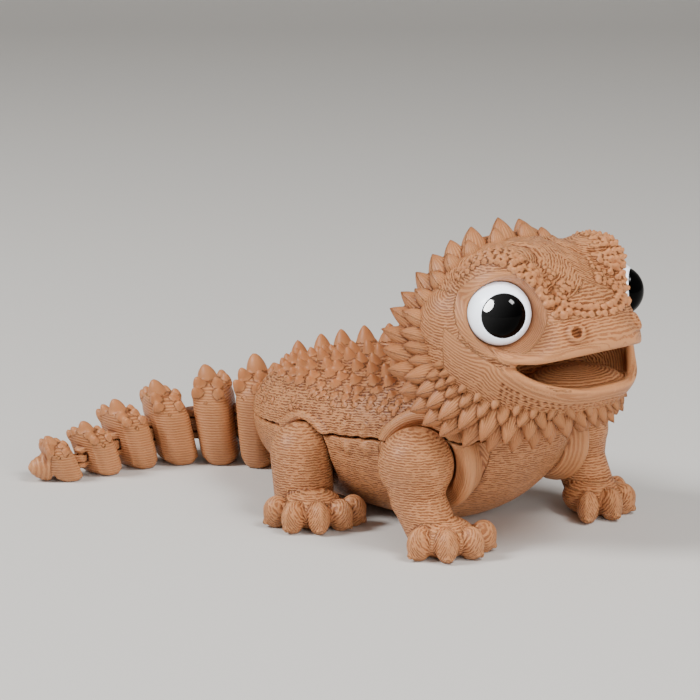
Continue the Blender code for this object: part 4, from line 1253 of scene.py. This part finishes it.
def make_skull():
    """The head without beads, nostrils, eyes and neck joint."""
    crest = smooth(RIDGE, 40)
    outward = crest - np.array((45.0, -12.0, 58.0))
    outward /= np.linalg.norm(outward, axis=1)[:, None]
    thick = np.interp(np.linspace(0, 1, 40), [0, 0.2, 0.8, 1], [1.4, 2.3, 2.1, 1.2])
    ridge = tube(crest - outward * RIDGE_SINK, thick, 16)
    forms = [skull_form()] + both([egg(BROW, BROW_SIZE, detail=40), ridge, egg(CHEEK, CHEEK_SIZE, detail=32)])
    head = melt(forms, 0.45, relax=8)
    head = carve(head, [mouth_wedge(), egg(BOWL, BOWL_SIZE, detail=48)])
    swell = np.interp(np.abs(np.linspace(-1, 1, 121)), [0.0, 0.85, 1.0], [1.0, 1.0, 0.55])
    lips = [tube(across_face(UPPER_EDGE), 1.15 * swell, 16), tube(across_face(LOWER_EDGE), 1.3 * swell, 16)]
    corners = both([egg(LIP_CORNER, CORNER_SIZE, math.radians(35), 16)])
    tongue = egg(TONGUE, TONGUE_SIZE, detail=40)
    head = melt([head, tongue] + lips + corners, 0.40, relax=5)
    head = carve(head, both([lathe(EYE, eye_axis(), SOCKET_CONE, 64)]))
    return melt([head], 0.36, relax=6)


skull = make_skull()
brow_edge = np.array([on_skin(skull, (46.0 + 10.5 * math.cos(a), -15.5 + 10.5 * math.sin(a), 74.5))[0]
                      for a in np.radians(np.linspace(5, 110, 50))])
for side in (1, -1):
    push(skull, brow_edge * (1, side, 1), -0.8, 1.0)
print("skull:", len(skull.data.polygons), "faces, with a groove behind each brow")

# %% [markdown]
# ## Beads and nostrils
# Small round beads crowd along the brows and over the bridge of the nose. They stand in rows beside each other
# along a path on the skin, each a little off its place, and are melted into it. The nostrils are raised rings with
# a pit. The eyes and the neck ball get exact round sockets.

# %% Rows of beads
def row_of_beads(skin, path, offsets, radius, step, seed):
    """Beads in rows beside each other along a path on the skin."""
    rng = random.Random(seed)
    path = smooth(path, 160)
    along = np.concatenate([[0], np.cumsum(np.linalg.norm(np.diff(path, axis=0), axis=1))])
    beads = []
    for row, offset in enumerate(offsets):
        place = step * (0.2 + 0.5 * (row % 2))
        while place < along[-1]:
            share = place / along[-1]
            spot = np.array([np.interp(place, along, path[:, i]) for i in range(3)])
            ahead = np.array([np.interp(place + 1, along, path[:, i]) for i in range(3)]) - spot + 1e-6
            _, facing = on_skin(skin, spot)
            side = np.cross(ahead / np.linalg.norm(ahead), facing)
            root, facing = on_skin(skin, spot + side * (offset + rng.uniform(-0.25, 0.25)))
            r = np.interp(share, [0, 0.5, 1], radius) * rng.uniform(0.8, 1.2)
            beads.append((root - facing * 0.15, facing + np.array((0, 0, 0.2)), r * 1.9, r * 1.02))
            place += step * rng.uniform(0.85, 1.15) * r / radius[1]
    return beads


beads = row_of_beads(skull, RIDGE, (-3.3, -1.6, 0.1, 1.7), (0.52, 0.70, 0.80), 1.95, 5)
beads += row_of_beads(skull, RIDGE[4:], (-5.0, -6.7, -8.4), (0.45, 0.62, 0.75), 1.95, 6)
beads += row_of_beads(skull, BRIDGE, (-1.0, 0.9), (0.75, 0.80, 0.75), 2.0, 7)
beads += row_of_beads(skull, RIDGE[1:5], (-5.0, -6.8), (0.45, 0.55, 0.5), 2.2, 8)
print("beads on one side:", len(beads))

# %% Nostrils and sockets
NOSTRIL_RING = [(0, 2.6), (1.4, 2.35), (1.9, 2.05), (2.1, 1.6), (2.0, 1.2)]
nose, nose_facing = on_skin(skull, NOSTRIL)
rims = [lathe(nose - nose_facing * 1.2, nose_facing, NOSTRIL_RING, 28)]
bead_forms = [bud(*bead, fall=2.4, round_off=0.6, sides=10, sink=0.6) for bead in beads]
head = melt([skull] + both(bead_forms + rims), 0.30, relax=1)
pit = egg(nose + nose_facing * 0.7, (1.35, 1.35, 1.5), detail=18)
socket = egg(EYE, [EYE_RADIUS + 0.12] * 3, detail=64)
head = carve(head, both([pit]) + both([socket]))
down = (NECK_FOOT - NECK_BALL) / np.linalg.norm(NECK_FOOT - NECK_BALL)
head = carve(head, [egg(NECK_BALL, [6.9] * 3, detail=32), lathe(NECK_BALL, down, [(0, 5.9), (25, 9.0)], 32)])
print("nostril at", nose.round(1))

# %% [markdown]
# ## Lines of the head
# The lines are level only where nothing disturbs them. They turn into rings round the eyes and over the brows, into
# arcs on the cheeks, and follow the lips along the snout and the jaw. Each region below has a distance of its own,
# and the lines count that distance. Regions that come later lie on top.

# %% Lines of the head
BROW_RINGS, CHEEK_RINGS = (47.5, -15.0, 77.0), (40.0, -25.0, 66.0)     # the middles of these rings of lines


def distance_to(place, path):
    """How far each point is from the nearest point of a path."""
    gap = np.full(len(place), 1e9)
    for spot in path:
        gap = np.minimum(gap, ((place - spot) ** 2).sum(axis=1))
    return np.sqrt(gap)


def head_lines(place):
    """The line value of each point of the head, and how ragged its lines are."""
    x, y, z = place.T
    right = np.stack([x, -np.abs(y), z], axis=1)
    lines, broken = z / 0.70, np.full(len(z), 0.75)
    brow = np.linalg.norm(right - BROW_RINGS, axis=1)
    high = (z > 63.5) & (brow < 22) & (x < 62)
    lines, broken = np.where(high, brow / 0.72, lines), np.where(high, 0.85, broken)
    cheek = np.linalg.norm(right - CHEEK_RINGS, axis=1)
    low = (cheek < 15.5) & (x < 45.5) & (z < 64)
    lines, broken = np.where(low, cheek / 0.70, lines), np.where(low, 0.65, broken)
    offset = right - EYE
    along = offset @ eye_axis()
    ring = np.linalg.norm(offset - np.outer(along, eye_axis()), axis=1)
    lid = (ring < 10.4) & (along > -5)
    lines, broken = np.where(lid, (ring + 0.4 * along) / 0.48, lines), np.where(lid, 0.02, broken)
    upper, lower = distance_to(right, smooth(UPPER_EDGE, 60)), distance_to(right, smooth(LOWER_EDGE, 60))
    snout = (x > 56) & (z > 50) & (upper < 8.0) & ~lid
    lines = np.where(snout, upper / 0.75, lines)
    broken = np.where(snout, 0.30 + 0.05 * upper, broken)
    fold = np.array([(39.0, -28.5, 57.0), (46.0, -27.0, 53.5)] + LOWER_EDGE)
    below = distance_to(right, smooth(fold, 80))
    jaw = (x > 41) & (below < 11.0) & (z < np.interp(x, fold[:, 0], fold[:, 2]) + 0.3) & ~lid
    lines, broken = np.where(jaw, below / 0.66, lines), np.where(jaw, np.clip(0.12 * below - 0.2, 0, 0.9), broken)
    lip = (np.minimum(upper, lower) < 1.7) & (x > 51)
    lines, broken = np.where(lip, np.minimum(upper, lower) / 0.45, lines), np.where(lip, 0.0, broken)
    spot = (place - TONGUE) / TONGUE_SIZE
    tongue = (np.abs(np.linalg.norm(spot, axis=1) - 1) < 0.12) & (z > 41)
    lines = np.where(tongue, np.linalg.norm(spot[:, :2], axis=1) * 13.0, lines)
    return lines, np.where(tongue, 0.4, broken)


print("points on the fold of the jaw:", 2 + len(LOWER_EDGE))

# %% [markdown]
# The jaw is dotted with rows of small pits, which are pushed into the last skin so that no melt can fill them.

# %% Head
head = melt([head], 0.30, relax=1)
pits = []
scatter = random.Random(12)
for row in range(6):
    lip = across_face(LOWER_EDGE, 50 if row % 2 else 51)
    for spot in lip[3:-3]:
        shift = (-0.3 * row, scatter.uniform(-0.35, 0.35), -(4.0 + 1.35 * row) + scatter.uniform(-0.3, 0.3))
        pits.append(on_skin(head, spot + shift)[0])
push(head, pits, -0.55, 0.62)
place, _ = points_of(head)
lines, broken = head_lines(place)
up_bead, _ = bud_values(place, beads + [(r * (1, -1, 1), d * (1, -1, 1), l, w) for r, d, l, w in beads])
lines = np.where(up_bead > 0.05, NO_SLIT, lines)
dress(head, "head_skin", "head", "head", layer=lines, broken=np.clip(broken - 3 * up_bead, 0, 1), tip=0.5 * up_bead)

# %% [markdown]
# ## Frill
# A crest of large spikes runs from the crown behind the cheeks and on under the chin as a beard. An outer row
# stands on a bar, a second row overlaps it like the leaves of an artichoke, and small ones fill in on the jaw.
# One path holds the roots and another the tips, and the same share along both gives one spike. The shares were
# read from the photograph. On the left the tips of the beard sit higher.

# %% Paths of the frill
FRILL_ROOT = [
    (33.0, 0.0, 72.2), (32.0, -9.3, 71.0), (30.5, -18.0, 65.9), (29.5, -22.7, 57.6), (29.5, -24.5, 50.0),
    (32.0, -25.5, 43.5), (36.5, -25.0, 38.5), (42.0, -23.0, 35.5), (48.0, -18.0, 34.0), (53.0, -12.0, 33.4),
    (56.5, -6.0, 33.8), (58.0, 0.0, 34.5)]
FRILL_TIP = [
    (31.0, 0.0, 78.0), (30.0, -8.5, 76.5), (27.0, -18.5, 70.5), (24.5, -26.5, 62.0), (23.5, -32.0, 53.5),
    (27.5, -34.0, 45.0), (34.0, -33.0, 36.0), (40.0, -30.5, 30.5), (48.0, -23.0, 26.0), (54.0, -15.0, 25.6),
    (58.0, -6.5, 27.3), (59.5, 0.0, 29.0)]
FRILL_TIP_LEFT = FRILL_TIP[:8] + [(43.5, -25.5, 31.0), (50.0, -18.0, 29.2), (56.0, -8.0, 28.0), (59.5, 0.0, 29.0)]
FRILL_SPLIT = 0.45        # the crown ends and the beard begins here
FRILL_SHARES = [0, 0.088, 0.138, 0.18, 0.225, 0.272, 0.312, 0.362, 0.41, 0.458, 0.508, 0.555, 0.605, 0.652, 0.698,
                0.748, 0.80, 0.848, 0.892, 0.948, 1.0]


def frill_spot(line, share):
    """The place at a share of a path."""
    path = smooth(line, 401)
    return np.array([np.interp(share * 400, np.arange(401), path[:, i]) for i in range(3)])


print("places along the frill:", len(FRILL_SHARES))

# %% [markdown]
# The spikes of the outer row point from root to tip. Those of the other rows stand on the skin of the head and lean
# out of it, more so from row to row, and they are shorter. Every second row stands in the gaps of the one before.

# %% Spikes of the frill
SPIKE_RADII = ([0, 0.45, 0.5, 0.7, 0.8, 1.0], [3.4, 3.5, 3.9, 3.6, 2.9, 2.6])     # share along the frill, radius
ROW_STEP, ROW_ALONG, ROW_OUT = (3.4, 6.3, 8.6), (1.0, 0.75, 0.55), (0.45, 0.7, 0.8)     # of rows 1 to 3


def frill_spikes(start, end, tips):
    """Root, direction, length and radius of each spike between two shares of the frill."""
    rng = random.Random(9)
    spikes = []
    for row in range(4):
        for i in range(len(FRILL_SHARES) - row % 2):
            share = FRILL_SHARES[i] if row % 2 == 0 else (FRILL_SHARES[i] + FRILL_SHARES[i + 1]) / 2
            grow = rng.uniform(0.94, 1.06)
            beard = share > 0.47
            if not start <= share <= end or (row > 1 and not beard):
                continue
            root, tip = frill_spot(FRILL_ROOT, share), frill_spot(tips, share)
            reach = tip - root
            length = np.linalg.norm(reach)
            reach /= length
            ahead = frill_spot(FRILL_ROOT, min(share + 0.02, 1.0)) - frill_spot(FRILL_ROOT, max(share - 0.02, 0.0))
            face = np.cross(ahead, reach)
            face *= np.sign(face[0]) / np.linalg.norm(face)
            slim = np.interp(share, *SPIKE_RADII)
            if row == 0:
                spikes.append((root - reach * 0.6, reach, length + 0.6, slim * grow))
                continue
            spot, facing = on_skin(head, root + face * ROW_STEP[row - 1])
            lean = reach * ROW_ALONG[row - 1] + facing * ROW_OUT[row - 1]
            lean /= np.linalg.norm(lean)
            second = length * (np.interp(share, [0.5, 0.7, 0.85], [0.85, 0.82, 0.6]) if beard else 0.55)
            tall = (second, 4.0, 2.4)[row - 1] * grow
            wide = (slim * 0.80 if beard else 2.3, 1.7, 1.1)[row - 1]
            spikes.append((spot - lean * 0.8, lean, tall + 0.8, wide))
    return spikes


print("spikes of the right beard:", len(frill_spikes(FRILL_SPLIT, 1.0, FRILL_TIP)))

# %% [markdown]
# The left crown starts a little further along, because the spike on the middle line belongs to the right one.
# The lines of a spike run from its foot and meet at its tip, so the angle round its axis counts them.

# %% Frill
for name, start, end in (("crown", 0.0, FRILL_SPLIT), ("beard", FRILL_SPLIT, 1.0)):
    for side in ("right", "left"):
        spikes = frill_spikes(start + (0.02 if side == "left" and name == "crown" else 0.0), end,
                              FRILL_TIP if side == "right" else FRILL_TIP_LEFT)
        bar = tube([frill_spot(FRILL_ROOT, t) for t in np.linspace(start, end, 24)], 2.3, 14)
        frill = melt([bar] + [bud(*spike, round_off=0.90, sides=24) for spike in spikes], 0.28, relax=0)
        up_spike, lines = bud_values(points_of(frill)[0], spikes, turns=22)
        if side == "left":
            right_one, frill = frill, mirror(frill)
            bpy.data.objects.remove(right_one, do_unlink=True)
        dress(frill, f"{name}_{side}_skin", "head", f"{name}_{side}", layer=lines, broken=0.12,
              tip=np.clip(up_spike * 1.6 - 0.6, 0, 1))

# %% [markdown]
# ## Eyes
# Each eye is a glossy white ball with a black dome let into it. Both are plain finishes: one colour, with a
# faint change of tone and of gloss, since a surface that is even all over looks drawn.

# %% Glossy finishes
def gloss(name, colour, roughness, specular, coat):
    """A smooth finish that is a little uneven."""
    material = bpy.data.materials.new(name)
    material.use_nodes = True
    n = Nodes(material.node_tree)
    shader = material.node_tree.nodes["Principled BSDF"]
    spot = n.add("ShaderNodeTexCoord").outputs["Object"]
    grain = n.noise(spot, 300.0, 3.0)
    tint = n.add("ShaderNodeVectorMath", {0: colour, "Scale": n.step(grain, 0.2, 0.8, 0.95, 1.03)},
                 operation="SCALE").outputs[0]
    material.node_tree.links.new(tint, shader.inputs["Base Color"])
    worn = n.step(grain, 0.2, 0.8, roughness * 0.85, roughness * 1.25)
    material.node_tree.links.new(worn, shader.inputs["Roughness"])
    shader.inputs["Specular IOR Level"].default_value = specular
    shader.inputs["Coat Weight"].default_value = coat
    shader.inputs["Coat Roughness"].default_value = 0.03
    return material


white = gloss("eye_white_gloss", (0.93, 0.95, 1.0), 0.30, 0.4, 0.2)
black = gloss("pupil_gloss", (0.0002, 0.0002, 0.0002), 0.06, 0.04, 0.0)
print("finishes:", white.name, black.name)

# %% [markdown]
# The ball has a pocket for the dome, and the dome is part of a smaller ball on a short foot. It stands proud of
# the white, which is what catches the lamps.

# %% Eyes
PUPIL, DOME = 5.25, 6.3                  # radius of the black disc, and of the ball that its dome is part of
PUPIL_FRONT, PUPIL_BACK = 8.3, 4.0       # from the middle of the eye to the front and the back of the disc
POCKET_PLAY = 0.12


def make_eye():
    """The right ball and its dome."""
    axis = eye_axis()
    pocket = [(0, PUPIL + POCKET_PLAY), (12, PUPIL + POCKET_PLAY)]
    ball = carve(egg(EYE, [EYE_RADIUS] * 3, detail=80),
                 [lathe(EYE + axis * (PUPIL_BACK - 0.15), axis, pocket, 72)])
    middle = PUPIL_FRONT - DOME
    start = math.asin(PUPIL / DOME)
    profile = [(PUPIL_BACK, PUPIL * 0.92), (PUPIL_BACK + 0.3, PUPIL - 0.05)]
    profile += [(middle + DOME * math.cos(a), DOME * math.sin(a)) for a in np.linspace(start, 0.02, 24)]
    return ball, lathe(EYE, axis, profile, 72)


ball, pupil = make_eye()
domes, balls = bpy.data.collections.new("domes"), bpy.data.collections.new("balls")
for form, name, material, slot in ((ball, "eye", white, "eye_white"), (pupil, "pupil", black, "pupil_black")):
    for side, obj in (("left", mirror(form)), ("right", form)):
        dress(obj, f"{name}_{side}_skin", "head", f"{name}_{side}", material=material)
        (domes if name == "pupil" else balls).objects.link(obj)

# %% [markdown]
# A photographer would hold a lamp and a card near the eyes to give them their highlights. Light linking does that
# without lighting anything else: a round lamp and a small square one shine on the domes alone, and a cool card
# brightens the white balls.

# %% Highlights of the eyes
GLINT_DISTANCE = 0.42
between_eyes = EYE * (1, 0.3, 1) * MM
for name, way, size, power, shape in (
        ("glint_lamp", (-0.390, -0.720, 0.565), 0.36, 320.0, "DISK"),
        ("glint_window", (0.52, 0.33, 0.785), 0.12, 10.0, "SQUARE")):
    lamp = area_lamp(name, tuple(between_eyes + np.array(way) * GLINT_DISTANCE), tuple(between_eyes),
                     size, power, shape=shape)
    lamp.light_linking.receiver_collection = domes
card = area_lamp("eye_card", (0.42, -0.40, 0.30), (0.05, 0.0, 0.06), 0.4, 7.0, (0.84, 0.92, 1.0))
card.light_linking.receiver_collection = balls

# %% [markdown]
